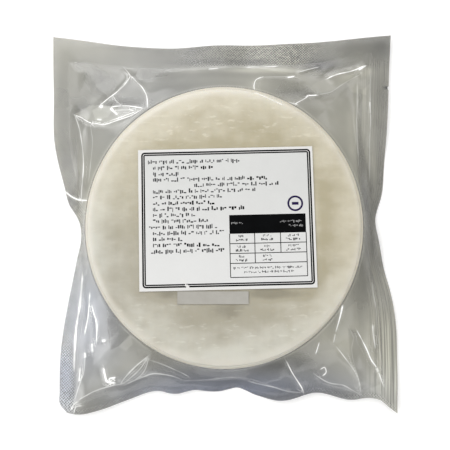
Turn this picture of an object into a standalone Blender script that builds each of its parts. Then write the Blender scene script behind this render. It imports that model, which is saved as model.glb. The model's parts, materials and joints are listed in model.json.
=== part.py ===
"""A round stack of rice paper wrappers, vacuum sealed in a clear pouch that lies flat, label up.

The pouch and the stack that it holds are one closed solid. The two films cling to the stack, run down
its side to the seam at half its height, and lie on each other as a thin skirt out to the heat-sealed
edge, which the vacuum has drawn in. A printed paper label and a small date sticker lie on the front.
Units are metres, +Z is up, and the origin is the centre of the stack's underside.
"""

import math

import bmesh
import bpy
import numpy as np
from mathutils import Vector

# Driving dimensions
STACK_RADII = (0.1101, 0.1122)  # along X and Y: the sheets aren't quite round
STACK_HEIGHT = 0.018
POUCH_CORNERS = {
    "top_left": (-0.1415, 0.1570),
    "top_right": (0.1380, 0.1590),
    "bottom_right": (0.1350, -0.1470),
    "bottom_left": (-0.1290, -0.1385),
}
SKIRT_THICKNESS = 0.0012
LABEL_SIZE = (0.1380, 0.1115, 0.0003)
LABEL_CENTRE = (0.0019, 0.0049)
LABEL_TURN = math.radians(1.35)
STICKER_SIZE = (0.0550, 0.0098, 0.0003)
STICKER_CENTRE = (-0.0088, -0.0571)
CLEARANCE = 0.0003

# How far each sealed edge is drawn in from the straight line between its corners, in millimetres, at
# shares of that line's length. Between these places the edge is a smooth curve.
EDGE_INSETS_MM = {
    "top": ((0, 0), (0.10, 2.7), (0.20, 5.9), (0.32, 8.3), (0.55, 6.6), (0.77, 4.5), (1, 0)),
    "right": (
        (0, 0), (0.21, 3.3), (0.37, 6.6), (0.43, 8.3), (0.505, 14.4), (0.56, 12.2), (0.63, 8.2),
        (0.69, 3.2), (0.76, -0.3), (0.88, -1.3), (1, 0),
    ),
    "bottom": (
        (0, 0), (0.012, 1.6), (0.04, 8.3), (0.08, 11.0), (0.133, 9.0), (0.24, 13.8), (0.35, 6.4),
        (0.42, 10.2), (0.48, 15.3), (0.515, 12.6), (0.56, 11.7), (0.60, 12.6), (0.66, 9.2),
        (0.71, 11.0), (0.80, 3.2), (0.88, -5.0), (0.95, -8.6), (0.98, -6.6), (1, 0),
    ),
    "left": (
        (0, 0), (0.12, 0.7), (0.25, 6.9), (0.37, 15.5), (0.43, 18.8), (0.49, 16.1), (0.52, 10.6),
        (0.58, 5.8), (0.69, -0.7), (0.85, -1.1), (1, 0),
    ),
}
EDGE_ENDS = {
    "top": ("top_left", "top_right"),
    "right": ("top_right", "bottom_right"),
    "bottom": ("bottom_right", "bottom_left"),
    "left": ("bottom_left", "top_left"),
}
POINTS_PER_EDGE = 40

# The round of the stack's rims under the film: how far in from the rim, and how far from the face
RIM_PROFILE = ((0.0062, 0.0), (0.0030, 0.0005), (0.0010, 0.0017), (0.0, 0.0038))
# The rings of the skirt, as shares of the way from the rim to the sealed edge
SKIRT_SHARES = (0.05, 0.12, 0.21, 0.33, 0.47, 0.62, 0.77, 0.89, 1.0)

# The skirt droops from the seam at half height to just over the table, and its corners stand off it
EDGE_HEIGHT = 0.0019
CORNER_LIFT = 0.0030
CORNER_REACH = 0.110
DROOP_POWER = 1.5
PUCKER_HEIGHT = 0.0012
PUCKER_WAVES = ((7, 1.3, 1.0), (11, 0.4, 0.7), (18, 2.2, 0.5))  # waves a turn, phase, strength
LEAST_SEAM_HEIGHT = SKIRT_THICKNESS / 2 + CLEARANCE
BRIDGE_LENGTH = 0.0020  # a film leaves the stack's side in a curve of this length ...
BRIDGE_SHARE = 0.45  # ... plus this share of the skirt's width
BRIDGE_POWER = 1.6

# Tented folds of the front film: from, to, crest height and half width, all in millimetres
FOLDS_MM = (
    ((-79, 129), (-96, 104), 4.0, 10.0),
    ((-105, 92), (-80, 94), 5.0, 12.0),
    ((115, 131), (72, 106), 5.0, 10.0),
    ((26, 119), (52, 101), 3.0, 8.0),
    ((-104, -68), (-101, -94), 3.5, 9.0),
    ((-81, -126), (-60, -104), 4.0, 9.0),
    ((89, -97), (107, -131), 4.5, 10.0),
    ((112, -90), (122, -118), 3.0, 8.0),
    ((50, -111), (60, -127), 3.0, 8.0),
)

NOTCH_SHARE = 0.145  # how far down the right edge the pouch is nicked, to be torn open
NOTCH_DEPTH = 0.0030
NOTCH_WIDTH = 0.0012


def smooth_through(stations, at):
    """The value at a place on a smooth curve through (place, value) stations."""
    places, values = np.array(stations, float).T
    slopes = np.gradient(values, places)
    i = min(max(int(np.searchsorted(places, at)) - 1, 0), len(places) - 2)
    span = places[i + 1] - places[i]
    u = (at - places[i]) / span
    from_values = (2 * u**3 - 3 * u**2 + 1) * values[i] + (3 * u**2 - 2 * u**3) * values[i + 1]
    from_slopes = (u**3 - 2 * u**2 + u) * slopes[i] + (u**3 - u**2) * slopes[i + 1]
    return from_values + span * from_slopes


def edge_point(edge, share):
    """A point of one sealed edge, at a share of the way from its first corner to its last."""
    first, last = (Vector(POUCH_CORNERS[corner]) for corner in EDGE_ENDS[edge])
    along = (last - first).normalized()
    inwards = Vector((along.y, -along.x))
    return first.lerp(last, share) + inwards * smooth_through(EDGE_INSETS_MM[edge], share) / 1000


def pouch_outline():
    """The whole sealed edge, clockwise as seen from above."""
    shares = [i / POINTS_PER_EDGE for i in range(POINTS_PER_EDGE)]
    return [edge_point(edge, share) for edge in EDGE_ENDS for share in shares]


def rim_radius(turn):
    """The stack's radius in the direction of a unit vector."""
    return 1 / math.hypot(turn.x / STACK_RADII[0], turn.y / STACK_RADII[1])


def fold_lift(place):
    """How much the folds lift the front film here: the tallest one wins."""
    lift = 0.0
    for start, end, crest, half_width in FOLDS_MM:
        first, last = Vector(start) / 1000, Vector(end) / 1000
        run = last - first
        share = min(max((place - first).dot(run) / run.length_squared, 0.0), 1.0)
        away = (place - first.lerp(last, share)).length
        lift = max(lift, crest / 1000 - away * crest / half_width)
    return lift


def seam_height(place, share):
    """The height of the plane between the two films, at a share of the way from rim to edge."""
    turn = math.atan2(place.y, place.x)
    pucker = sum(strength * math.cos(waves * turn + phase) for waves, phase, strength in PUCKER_WAVES)
    corner_distance = min((place - Vector(corner)).length for corner in POUCH_CORNERS.values())
    edge = EDGE_HEIGHT + CORNER_LIFT * max(0.0, 1 - corner_distance / CORNER_REACH) ** 2
    seam = edge + (STACK_HEIGHT / 2 - edge) * (1 - share) ** DROOP_POWER
    return max(seam + PUCKER_HEIGHT * pucker * share, LEAST_SEAM_HEIGHT)


def rim_ring(outline, inset, height):
    """A ring on the stack, with one point towards each point of the outline."""
    turns = [edge.normalized() for edge in outline]
    return [(*(turn * (rim_radius(turn) - inset)), height) for turn in turns]


def skirt_ring(outline, share, front):
    """A ring of the front or the back film, at a share of the way from the rim to the sealed edge."""
    side_end = RIM_PROFILE[-1][1]
    ring = []
    for edge in outline:
        rim = rim_radius(edge.normalized())
        width = edge.length - rim
        place = edge.normalized() * (rim + width * share)
        seam = seam_height(place, share)
        cling = max(0.0, 1 - width * share / (BRIDGE_LENGTH + BRIDGE_SHARE * width)) ** BRIDGE_POWER
        if front:
            height = seam + SKIRT_THICKNESS / 2 + fold_lift(place) * math.sin(math.pi * share)
            height += (STACK_HEIGHT - side_end - height) * cling
        else:
            height = seam - SKIRT_THICKNESS / 2
            height += (side_end - height) * cling
        ring.append((*place, height))
    return ring


def pouch_rings():
    """The rings of the loft: out from the underside over the back film, and in over the front."""
    outline = pouch_outline()
    back = [rim_ring(outline, inset, below) for inset, below in RIM_PROFILE]
    back += [skirt_ring(outline, share, front=False) for share in SKIRT_SHARES]
    front = [rim_ring(outline, inset, STACK_HEIGHT - below) for inset, below in RIM_PROFILE]
    front += [skirt_ring(outline, share, front=True) for share in SKIRT_SHARES]
    return back + front[::-1]


def make_material(name, colour, roughness):
    material = bpy.data.materials.new(name)
    material.use_nodes = True
    shader = material.node_tree.nodes["Principled BSDF"]
    shader.inputs["Base Color"].default_value = (*colour, 1)
    shader.inputs["Roughness"].default_value = roughness
    shader.inputs["Metallic"].default_value = 0.0
    return material


def move_to(collection, piece):
    for other in list(piece.users_collection):
        other.objects.unlink(piece)
    collection.objects.link(piece)


def make_notch_cutter(collection):
    """A V-shaped prism that points into the pouch at the tear notch."""
    bpy.ops.mesh.primitive_cylinder_add(vertices=3, radius=1, depth=STACK_HEIGHT)
    cutter = bpy.context.object
    cutter.name = "tear_notch_cutter"
    cutter.scale = (NOTCH_WIDTH, NOTCH_DEPTH, 1)
    cutter.rotation_euler.z = math.radians(90)
    cutter.location = (*edge_point("right", NOTCH_SHARE), 0)
    cutter.hide_render = True
    cutter.display_type = "WIRE"
    move_to(collection, cutter)
    return cutter


def make_pouch(collection, cutter):
    """The sealed pouch with its stack: a loft from the round rim to the drawn-in rectangle."""
    build = bmesh.new()
    loops = [[build.verts.new(point) for point in ring] for ring in pouch_rings()]
    count = len(loops[0])
    for inner, outer in zip(loops, loops[1:]):
        for i in range(count):
            j = (i + 1) % count
            build.faces.new((inner[i], outer[i], outer[j], inner[j]))
    build.faces.new(loops[0])
    build.faces.new(loops[-1])
    bmesh.ops.recalc_face_normals(build, faces=build.faces)
    mesh = bpy.data.meshes.new("pouch")
    build.to_mesh(mesh)
    build.free()
    mesh.shade_smooth()
    mesh.materials.append(make_material("film_over_rice_paper", (0.56, 0.52, 0.41), 0.25))
    pouch = bpy.data.objects.new("pouch", mesh)
    collection.objects.link(pouch)
    nick = pouch.modifiers.new("tear notch", "BOOLEAN")
    nick.operation = "DIFFERENCE"
    nick.object = cutter


def make_sticker(collection, name, size, centre, turn, material):
    """A thin sheet of paper that lies on the film over the stack."""
    bpy.ops.mesh.primitive_cube_add(size=1)
    sticker = bpy.context.object
    sticker.name = name
    sticker.dimensions = size
    bpy.ops.object.transform_apply(location=False, rotation=False, scale=True)
    sticker.location = (*centre, STACK_HEIGHT + CLEARANCE + size[2] / 2)
    sticker.rotation_euler.z = turn
    sticker.data.materials.append(material)
    move_to(collection, sticker)


def new_collection(name):
    collection = bpy.data.collections.new(name)
    bpy.context.scene.collection.children.link(collection)
    return collection


def main():
    for old in list(bpy.data.objects):
        bpy.data.objects.remove(old)
    pack = new_collection("rice_paper_pack")
    make_pouch(pack, make_notch_cutter(new_collection("cutters")))
    label_paper = make_material("label_paper", (0.79, 0.79, 0.78), 0.35)
    make_sticker(pack, "label", LABEL_SIZE, LABEL_CENTRE, LABEL_TURN, label_paper)
    grey_paper = make_material("grey_paper", (0.45, 0.43, 0.40), 0.5)
    make_sticker(pack, "date_sticker", STICKER_SIZE, STICKER_CENTRE, 0.0, grey_paper)


main()
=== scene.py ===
"""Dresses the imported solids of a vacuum-sealed stack of rice paper wrappers.

The solid pouch is replaced by its two clear films and by the sheets inside, and the solid label and
date sticker by paper with print on it. Units are metres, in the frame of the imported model: +Z is up and
the origin is the centre of the stack's underside.
"""

from __future__ import annotations

import json
import logging
import math
from contextlib import contextmanager
from dataclasses import dataclass, field
from enum import Enum
from typing import Iterator, Sequence

import bmesh
import bpy
import numpy as np
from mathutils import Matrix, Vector

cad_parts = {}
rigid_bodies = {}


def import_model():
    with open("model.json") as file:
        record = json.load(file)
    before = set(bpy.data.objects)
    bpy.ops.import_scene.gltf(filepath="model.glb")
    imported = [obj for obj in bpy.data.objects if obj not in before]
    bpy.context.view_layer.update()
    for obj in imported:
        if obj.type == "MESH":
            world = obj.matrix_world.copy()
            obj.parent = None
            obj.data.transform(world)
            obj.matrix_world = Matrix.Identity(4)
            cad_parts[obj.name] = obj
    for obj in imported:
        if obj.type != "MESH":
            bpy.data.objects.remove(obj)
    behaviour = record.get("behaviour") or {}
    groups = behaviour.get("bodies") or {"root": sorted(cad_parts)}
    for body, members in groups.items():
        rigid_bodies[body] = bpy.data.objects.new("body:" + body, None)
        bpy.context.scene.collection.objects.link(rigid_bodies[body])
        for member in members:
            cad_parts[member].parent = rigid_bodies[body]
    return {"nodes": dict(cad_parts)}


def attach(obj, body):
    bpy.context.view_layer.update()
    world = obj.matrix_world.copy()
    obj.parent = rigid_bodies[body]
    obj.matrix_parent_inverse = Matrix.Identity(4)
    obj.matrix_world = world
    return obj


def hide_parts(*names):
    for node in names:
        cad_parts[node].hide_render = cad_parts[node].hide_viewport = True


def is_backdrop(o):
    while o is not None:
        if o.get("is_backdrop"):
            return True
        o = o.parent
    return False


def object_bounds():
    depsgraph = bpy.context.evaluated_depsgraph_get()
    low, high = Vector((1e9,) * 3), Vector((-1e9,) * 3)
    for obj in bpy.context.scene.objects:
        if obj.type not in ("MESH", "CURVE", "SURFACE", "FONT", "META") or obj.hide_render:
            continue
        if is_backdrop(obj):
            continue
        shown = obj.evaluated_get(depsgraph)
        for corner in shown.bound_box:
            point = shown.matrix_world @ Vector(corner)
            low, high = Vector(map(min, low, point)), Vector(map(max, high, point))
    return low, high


LOG = logging.getLogger("rice_paper_pack")
MM = 0.001
BODY = "root"
Point = tuple[float, float]
Colour = tuple[float, float, float]
Array = np.ndarray
Piece = bpy.types.Object
Material = bpy.types.Material
Socket = bpy.types.NodeSocket


# ---------------- modelling helpers


def select_only(piece: Piece) -> None:
    """Make one piece the active object and the only selected one.

    Args:
        piece: The object that the next operators act on.
    """
    for other in bpy.context.scene.objects:
        other.select_set(False)
    piece.select_set(True)
    bpy.context.view_layer.objects.active = piece


def deselect_all() -> None:
    """Leave nothing selected before a primitive is added."""
    for other in bpy.context.scene.objects:
        other.select_set(False)
    bpy.context.view_layer.objects.active = None


@contextmanager
def edit_mode(piece: Piece) -> Iterator[bmesh.types.BMesh]:
    """Open a piece in edit mode with nothing selected.

    Args:
        piece: The mesh object to edit.

    Yields:
        Its edit mesh, for choosing what the operators act on.
    """
    select_only(piece)
    bpy.ops.object.mode_set(mode="EDIT")
    bpy.ops.mesh.select_all(action="DESELECT")
    yield bmesh.from_edit_mesh(piece.data)
    bpy.ops.object.mode_set(mode="OBJECT")


def apply_modifiers(piece: Piece) -> None:
    """Apply every modifier of a piece, in order.

    Args:
        piece: The mesh object.
    """
    select_only(piece)
    for name in [modifier.name for modifier in piece.modifiers]:
        bpy.ops.object.modifier_apply(modifier=name)


def thicken(piece: Piece, thickness: float, offset: float = -1) -> None:
    """Give a flat mesh a thickness.

    Args:
        piece: The mesh object.
        thickness: How thick it becomes.
        offset: 1 for up from its plane, or -1 for down from it.
    """
    wall = piece.modifiers.new("thickness", "SOLIDIFY")
    wall.thickness = thickness
    wall.offset = offset
    apply_modifiers(piece)


def apply_place(piece: Piece) -> None:
    """Move a piece's location, turn and scale into its mesh."""
    select_only(piece)
    bpy.ops.object.transform_apply(location=True, rotation=True, scale=True)


def copy_piece(piece: Piece) -> Piece:
    """Add a copy of a piece, with a mesh of its own.

    Args:
        piece: The mesh object.

    Returns:
        The copy.
    """
    copy = piece.copy()
    copy.data = piece.data.copy()
    bpy.context.scene.collection.objects.link(copy)
    return copy


def join_pieces(pieces: Sequence[Piece], name: str) -> Piece:
    """Join several meshes into one named piece.

    Args:
        pieces: The meshes, the first of which takes in the others.
        name: The joined piece's name.

    Returns:
        The joined piece.
    """
    select_only(pieces[0])
    for piece in pieces[1:]:
        piece.select_set(True)
    bpy.ops.object.join()
    joined = bpy.context.object
    joined.name = name
    joined.data.name = name
    return joined


def vertex_array(piece: Piece) -> Array:
    """Read a mesh's vertices.

    Args:
        piece: The mesh object.

    Returns:
        One row for each vertex, in metres.
    """
    places = np.zeros(len(piece.data.vertices) * 3)
    piece.data.vertices.foreach_get("co", places)
    return places.reshape(-1, 3)


def set_vertex_array(piece: Piece, places: Array) -> None:
    """Move a mesh's vertices.

    Args:
        piece: The mesh object.
        places: One row for each vertex, in metres.
    """
    piece.data.vertices.foreach_set("co", np.ascontiguousarray(places, dtype=np.float32).ravel())
    piece.data.update()


def set_vertex_value(piece: Piece, name: str, values: Array) -> None:
    """Store one number for each vertex, which a material can read.

    Args:
        piece: The mesh object.
        name: The attribute's name.
        values: One number for each vertex.
    """
    layer = piece.data.attributes.new(name, "FLOAT", "POINT")
    layer.data.foreach_set("value", np.ascontiguousarray(values, dtype=np.float32).ravel())


def add_grid(name: str, columns: int, rows: int) -> Piece:
    """Add a flat grid one metre square, centred on the origin, with its UV map.

    Args:
        name: The new piece's name.
        columns: How many faces it has along X.
        rows: How many faces it has along Y.

    Returns:
        The grid.
    """
    deselect_all()
    bpy.ops.mesh.primitive_grid_add(x_subdivisions=columns, y_subdivisions=rows, size=1, calc_uvs=True)
    grid = bpy.context.object
    grid.name = name
    grid.data.name = name
    return grid


def dress(piece: Piece, material: Material) -> Piece:
    """Give a piece its finish and its body.

    Args:
        piece: The finished mesh.
        material: Its finish.

    Returns:
        The same piece.
    """
    piece.data.materials.clear()
    piece.data.materials.append(material)
    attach(piece, BODY)
    LOG.info("%s: %d faces", piece.name, len(piece.data.polygons))
    return piece


# ---------------- fields over the plan


def smoothstep(low: float, high: float, at: Array) -> Array:
    """Rise smoothly from 0 at low to 1 at high."""
    share = np.clip((at - low) / (high - low), 0, 1)
    return share * share * (3 - 2 * share)


def soft_noise(x: Array, y: Array, cell: float, seed: int) -> Array:
    """Smooth random hills.

    Args:
        x: Places along X.
        y: Places along Y, of the same shape.
        cell: The size of a hill, in the places' unit.
        seed: Which random hills.

    Returns:
        Heights from -1 to 1.
    """
    size = 128
    lattice = np.random.RandomState(seed).uniform(-1, 1, (size, size))
    across, along = x / cell + size / 2, y / cell + size / 2
    i, j = np.floor(across).astype(int), np.floor(along).astype(int)
    u, v = across - i, along - j
    u, v = u * u * (3 - 2 * u), v * v * (3 - 2 * v)
    i0, i1, j0, j1 = i % size, (i + 1) % size, j % size, (j + 1) % size
    near = lattice[i0, j0] * (1 - u) + lattice[i1, j0] * u
    far = lattice[i0, j1] * (1 - u) + lattice[i1, j1] * u
    return near * (1 - v) + far * v


def crumpled_facets(x: Array, y: Array, cell: float, seed: int) -> Array:
    """Flat triangular facets that meet in straight creases, as crumpled film has.

    Args:
        x: Places along X.
        y: Places along Y, of the same shape.
        cell: The size of a facet, in the places' unit.
        seed: Which random facets.

    Returns:
        Heights from -1 to 1.
    """
    size = 96
    random = np.random.RandomState(seed)
    jitter = random.uniform(-0.46, 0.46, (size, size, 2))
    height = random.uniform(-1, 1, (size, size))
    leaning = random.rand(size, size) < 0.5
    across, along = x / cell + size / 2, y / cell + size / 2
    column, row = np.floor(across).astype(int), np.floor(along).astype(int)
    result = np.zeros_like(x)
    for di in (-1, 0, 1):
        for dj in (-1, 0, 1):
            i, j = (column + di) % size, (row + dj) % size
            corners = []
            for a, b in ((0, 0), (1, 0), (1, 1), (0, 1)):
                ia, jb = (i + a) % size, (j + b) % size
                at = (column + di + a + jitter[ia, jb, 0], row + dj + b + jitter[ia, jb, 1])
                corners.append((*at, height[ia, jb]))
            for halves, wanted in ((((0, 1, 2), (0, 2, 3)), True), (((0, 1, 3), (1, 2, 3)), False)):
                for half in halves:
                    inside, value = height_in_triangle(across, along, [corners[k] for k in half])
                    use = inside & (leaning[i, j] == wanted)
                    result[use] = value[use]
    return result


def height_in_triangle(x: Array, y: Array, corners: Sequence) -> tuple[Array, Array]:
    """Interpolate over one triangle for each place.

    Args:
        x: Places along X.
        y: Places along Y.
        corners: Three (x, y, height) triples of arrays.

    Returns:
        Which places lie inside their triangle, and the height of its plane at each.
    """
    (x0, y0, h0), (x1, y1, h1), (x2, y2, h2) = corners
    area = (x1 - x0) * (y2 - y0) - (x2 - x0) * (y1 - y0)
    area = np.where(np.abs(area) < 1e-9, 1e-9, area)
    b1 = ((x - x0) * (y2 - y0) - (x2 - x0) * (y - y0)) / area
    b2 = ((x1 - x0) * (y - y0) - (x - x0) * (y1 - y0)) / area
    inside = (b1 >= 0) & (b2 >= 0) & (b1 + b2 <= 1)
    return inside, h0 + b1 * (h1 - h0) + b2 * (h2 - h0)


def nearest_on_run(x: Array, y: Array, start: Point, end: Point) -> tuple[Array, Array]:
    """Find the point of one straight run that is nearest to each place.

    Args:
        x: Places along X.
        y: Places along Y.
        start: Where the run starts.
        end: Where it ends.

    Returns:
        The share of the run's length at that point, and the distance to it.
    """
    dx, dy = end[0] - start[0], end[1] - start[1]
    along = np.clip(((x - start[0]) * dx + (y - start[1]) * dy) / math.dist(start, end) ** 2, 0, 1)
    return along, np.hypot(x - start[0] - along * dx, y - start[1] - along * dy)


def distance_to_path(x: Array, y: Array, path: Sequence[Point]) -> tuple[Array, Array]:
    """Measure how far each place is from a path of straight runs.

    Args:
        x: Places along X.
        y: Places along Y.
        path: The path's corners.

    Returns:
        The distance to the path, and the share of its length at the nearest point.
    """
    runs = [math.dist(a, b) for a, b in zip(path, path[1:])]
    total, before = sum(runs), 0.0
    nearest = np.full(x.shape, np.inf)
    share = np.zeros_like(x)
    for start, end, run in zip(path, path[1:], runs):
        along, away = nearest_on_run(x, y, start, end)
        closer = away < nearest
        nearest = np.where(closer, away, nearest)
        share = np.where(closer, (before + along * run) / total, share)
        before += run
    return nearest, share


def smooth_path(path: Sequence[Point], steps: int = 5) -> tuple[Point, ...]:
    """Round off a path's corners with a curve through all of them.

    Args:
        path: The path's corners.
        steps: How many runs stand for each of its runs.

    Returns:
        The corners of the smooth path.
    """
    if len(path) < 3:
        return tuple(path)
    ends = [path[0], *path, path[-1]]
    points = []
    for before, a, b, after in zip(ends, ends[1:], ends[2:], ends[3:]):
        for step in range(steps):
            t = step / steps
            weights = (-t**3 + 2 * t**2 - t, 3 * t**3 - 5 * t**2 + 2, -3 * t**3 + 4 * t**2 + t, t**3 - t**2)
            weighted = list(zip(weights, (before, a, b, after)))
            points.append(tuple(sum(w * p[k] for w, p in weighted) / 2 for k in (0, 1)))
    return (*points, path[-1])


def offset_from_path(x: Array, y: Array, path: Sequence[Point]) -> tuple[Array, Array]:
    """Measure the distance to a path, above zero on its left and below zero on its right.

    Args:
        x: Places along X.
        y: Places along Y.
        path: The path's corners.

    Returns:
        The offset from the path, and the share of its length at the nearest point.
    """
    away, share = distance_to_path(x, y, path)
    side, nearest = np.ones_like(x), np.full(x.shape, np.inf)
    for start, end in zip(path, path[1:]):
        _, gap = nearest_on_run(x, y, start, end)
        across = (end[0] - start[0]) * (y - start[1]) - (end[1] - start[1]) * (x - start[0])
        side = np.where(gap < nearest, np.sign(across), side)
        nearest = np.minimum(nearest, gap)
    return away * side, share


# ---------------- the shape of the pack


@dataclass
class StackSize:
    """The stack of sheets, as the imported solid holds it."""

    radius_x: float = 0.1101
    radius_y: float = 0.1122
    height: float = 0.018
    rim_inset: tuple[float, ...] = (0.0062, 0.0030, 0.0010, 0.0)
    rim_below: tuple[float, ...] = (0.0, 0.0005, 0.0017, 0.0038)

    def rim(self, angle: Array) -> Array:
        """Return the stack's radius at each angle."""
        return 1 / np.hypot(np.cos(angle) / self.radius_x, np.sin(angle) / self.radius_y)

    def below_face(self, inset: Array) -> Array:
        """Return how far the rounded rim lies below the face, at distances in from the rim."""
        return np.interp(-inset, [-i for i in self.rim_inset], self.rim_below)

    def rim_inset_at(self, below: float) -> float:
        """Return how far in from the rim the rounded edge is, this far below the face."""
        return float(np.interp(below, self.rim_below, self.rim_inset))


class SealedEdge:
    """The pouch's heat-sealed edge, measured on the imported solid."""

    def __init__(self, pouch: Piece) -> None:
        """Find the outermost point in each direction, and the four corners.

        Args:
            pouch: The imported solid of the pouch.
        """
        places = vertex_array(pouch)
        angle = np.arctan2(places[:, 1], places[:, 0])
        radius = np.hypot(places[:, 0], places[:, 1])
        order = np.argsort(angle)
        angle, radius = angle[order], radius[order]
        starts = np.flatnonzero(np.diff(angle, prepend=-10) > 0.001)
        self.radius = np.maximum.reduceat(radius, starts)
        self.angle = np.add.reduceat(angle, starts) / np.diff(np.append(starts, len(angle)))
        self._leave_out_nicks()
        self.points = np.stack([self.radius * np.cos(self.angle), self.radius * np.sin(self.angle)], 1)

    def _leave_out_nicks(self) -> None:
        """Drop the points of the tear notch, which are nearer than both neighbours."""
        for _ in range(3):
            near = (np.roll(self.radius, 1) + np.roll(self.radius, -1)) / 2
            keep = self.radius > 0.985 * near
            self.angle, self.radius = self.angle[keep], self.radius[keep]

    def reach(self, angle: Array) -> Array:
        """Return the distance from the centre to the edge at each angle."""
        return np.interp(angle, self.angle, self.radius, period=2 * math.pi)

    def corner(self, right: int, up: int) -> int:
        """Return which point is the corner on that side, each side given as 1 or -1."""
        return int(np.argmax(self.points @ np.array([right, up])))

    def side(self, start: int, end: int, shares: Array) -> Array:
        """Sample one side as a smooth curve.

        Args:
            start: The corner it starts from.
            end: The corner it ends at, anticlockwise from the first.
            shares: Shares of the side's length.

        Returns:
            One point for each share.
        """
        count = (end - start) % len(self.points)
        run = self.points[(start + np.arange(count + 1)) % len(self.points)]
        length = np.concatenate([[0], np.cumsum(np.hypot(*np.diff(run, axis=0).T))])
        slopes = np.gradient(run, length, axis=0)
        at = shares * length[-1]
        i = np.clip(np.searchsorted(length, at) - 1, 0, count - 1)
        span = (length[i + 1] - length[i])[:, None]
        u = ((at - length[i]) / span[:, 0])[:, None]
        return (
            (2 * u**3 - 3 * u**2 + 1) * run[i]
            + (3 * u**2 - 2 * u**3) * run[i + 1]
            + span * ((u**3 - 2 * u**2 + u) * slopes[i] + (u**3 - u**2) * slopes[i + 1])
        )

    def lay_out(self, u: Array, v: Array) -> tuple[Array, Array]:
        """Spread a square sheet over the pouch, so that its sides follow the sealed edge.

        Args:
            u: Shares of the way from the left side to the right.
            v: Shares of the way from the bottom to the top.

        Returns:
            Places along X and along Y.
        """
        lower_left, lower_right = self.corner(-1, -1), self.corner(1, -1)
        upper_right, upper_left = self.corner(1, 1), self.corner(-1, 1)
        bottom = self.side(lower_left, lower_right, u)
        right = self.side(lower_right, upper_right, v)
        top = self.side(upper_right, upper_left, 1 - u)
        left = self.side(upper_left, lower_left, 1 - v)
        corners = [self.points[k] for k in (lower_left, lower_right, upper_left, upper_right)]
        u, v = u[:, None], v[:, None]
        sheet = (1 - v) * bottom + v * top + (1 - u) * left + u * right
        sheet -= (1 - u) * (1 - v) * corners[0] + u * (1 - v) * corners[1]
        sheet -= (1 - u) * v * corners[2] + u * v * corners[3]
        return sheet[:, 0], sheet[:, 1]


@dataclass(frozen=True)
class Fold:
    """A crease in the film: a ridge, with a painted highlight as a fine bright line along its crest, in
    millimetres.
    """

    path: tuple[Point, ...]
    # how strong the painted highlight along the crest is
    line: float = 1.0
    height: float = 1.2
    reach: float = 6.0
    line_width: float = 0.5
    lean: float = 0.35

    def shape(self, x: Array, y: Array) -> tuple[Array, Array, Array]:
        """Work out the fold's ridge over the plan.

        Args:
            x: Places along X.
            y: Places along Y.

        Returns:
            The ridge's height, the distance to its crest to one side or the other, and how far each
            place is from the ridge's ends, from 0 to 1.
        """
        offset, share = offset_from_path(x, y, smooth_path(self.path))
        ends = np.clip(np.minimum(share, 1 - share) * 9 + 0.05, 0, 1) ** 0.7
        reach = self.reach * np.where(offset > 0, 1 + self.lean, 1 - self.lean)
        near = np.clip(1 - np.abs(offset) / reach, 0, 1)
        return self.height * ends * near**1.3, offset, ends


@dataclass(frozen=True)
class PaintedFacet:
    """A patch of film painted lighter or darker, standing for the light and shade of a folded or puffed
    facet, in millimetres.
    """

    corners: tuple[Point, ...]
    light: float

    def cover(self, x: Array, y: Array, soft: float = 0.6) -> Array:
        """Find what the patch covers.

        Args:
            x: Places along X.
            y: Places along Y.
            soft: Half the width of its soft edge.

        Returns:
            1 inside the patch and 0 outside it.
        """
        loop = (*self.corners, self.corners[0])
        away, _ = distance_to_path(x, y, loop)
        inside = np.zeros(x.shape, bool)
        for (ax, ay), (bx, by) in zip(loop, loop[1:]):
            crosses = (ay > y) != (by > y)
            at = ax + (y - ay) * (bx - ax) / (by - ay if by != ay else 1e-9)
            inside ^= crosses & (x < at)
        return smoothstep(-soft, soft, np.where(inside, away, -away))


@dataclass(frozen=True)
class SoftPatch:
    """A broad soft change of tone in film or paper, in millimetres."""

    x: float
    y: float
    reach_x: float
    reach_y: float
    light: float
    cool: float = 0.0

    def cover(self, x: Array, y: Array) -> Array:
        """Return 1 at the patch's centre, falling to 0 away from it."""
        return np.exp(-(((x - self.x) / self.reach_x) ** 2) - ((y - self.y) / self.reach_y) ** 2)


class Side(Enum):
    """Which of the pouch's two films."""

    FRONT = 1
    BACK = -1


@dataclass(frozen=True)
class FilmSide:
    """One film: how finely it is made and what its folds are."""

    side: Side
    name: str
    columns: int
    rows: int
    seed: int
    folds: tuple[Fold, ...]
    facets: tuple[PaintedFacet, ...]
    crumple: float


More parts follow.
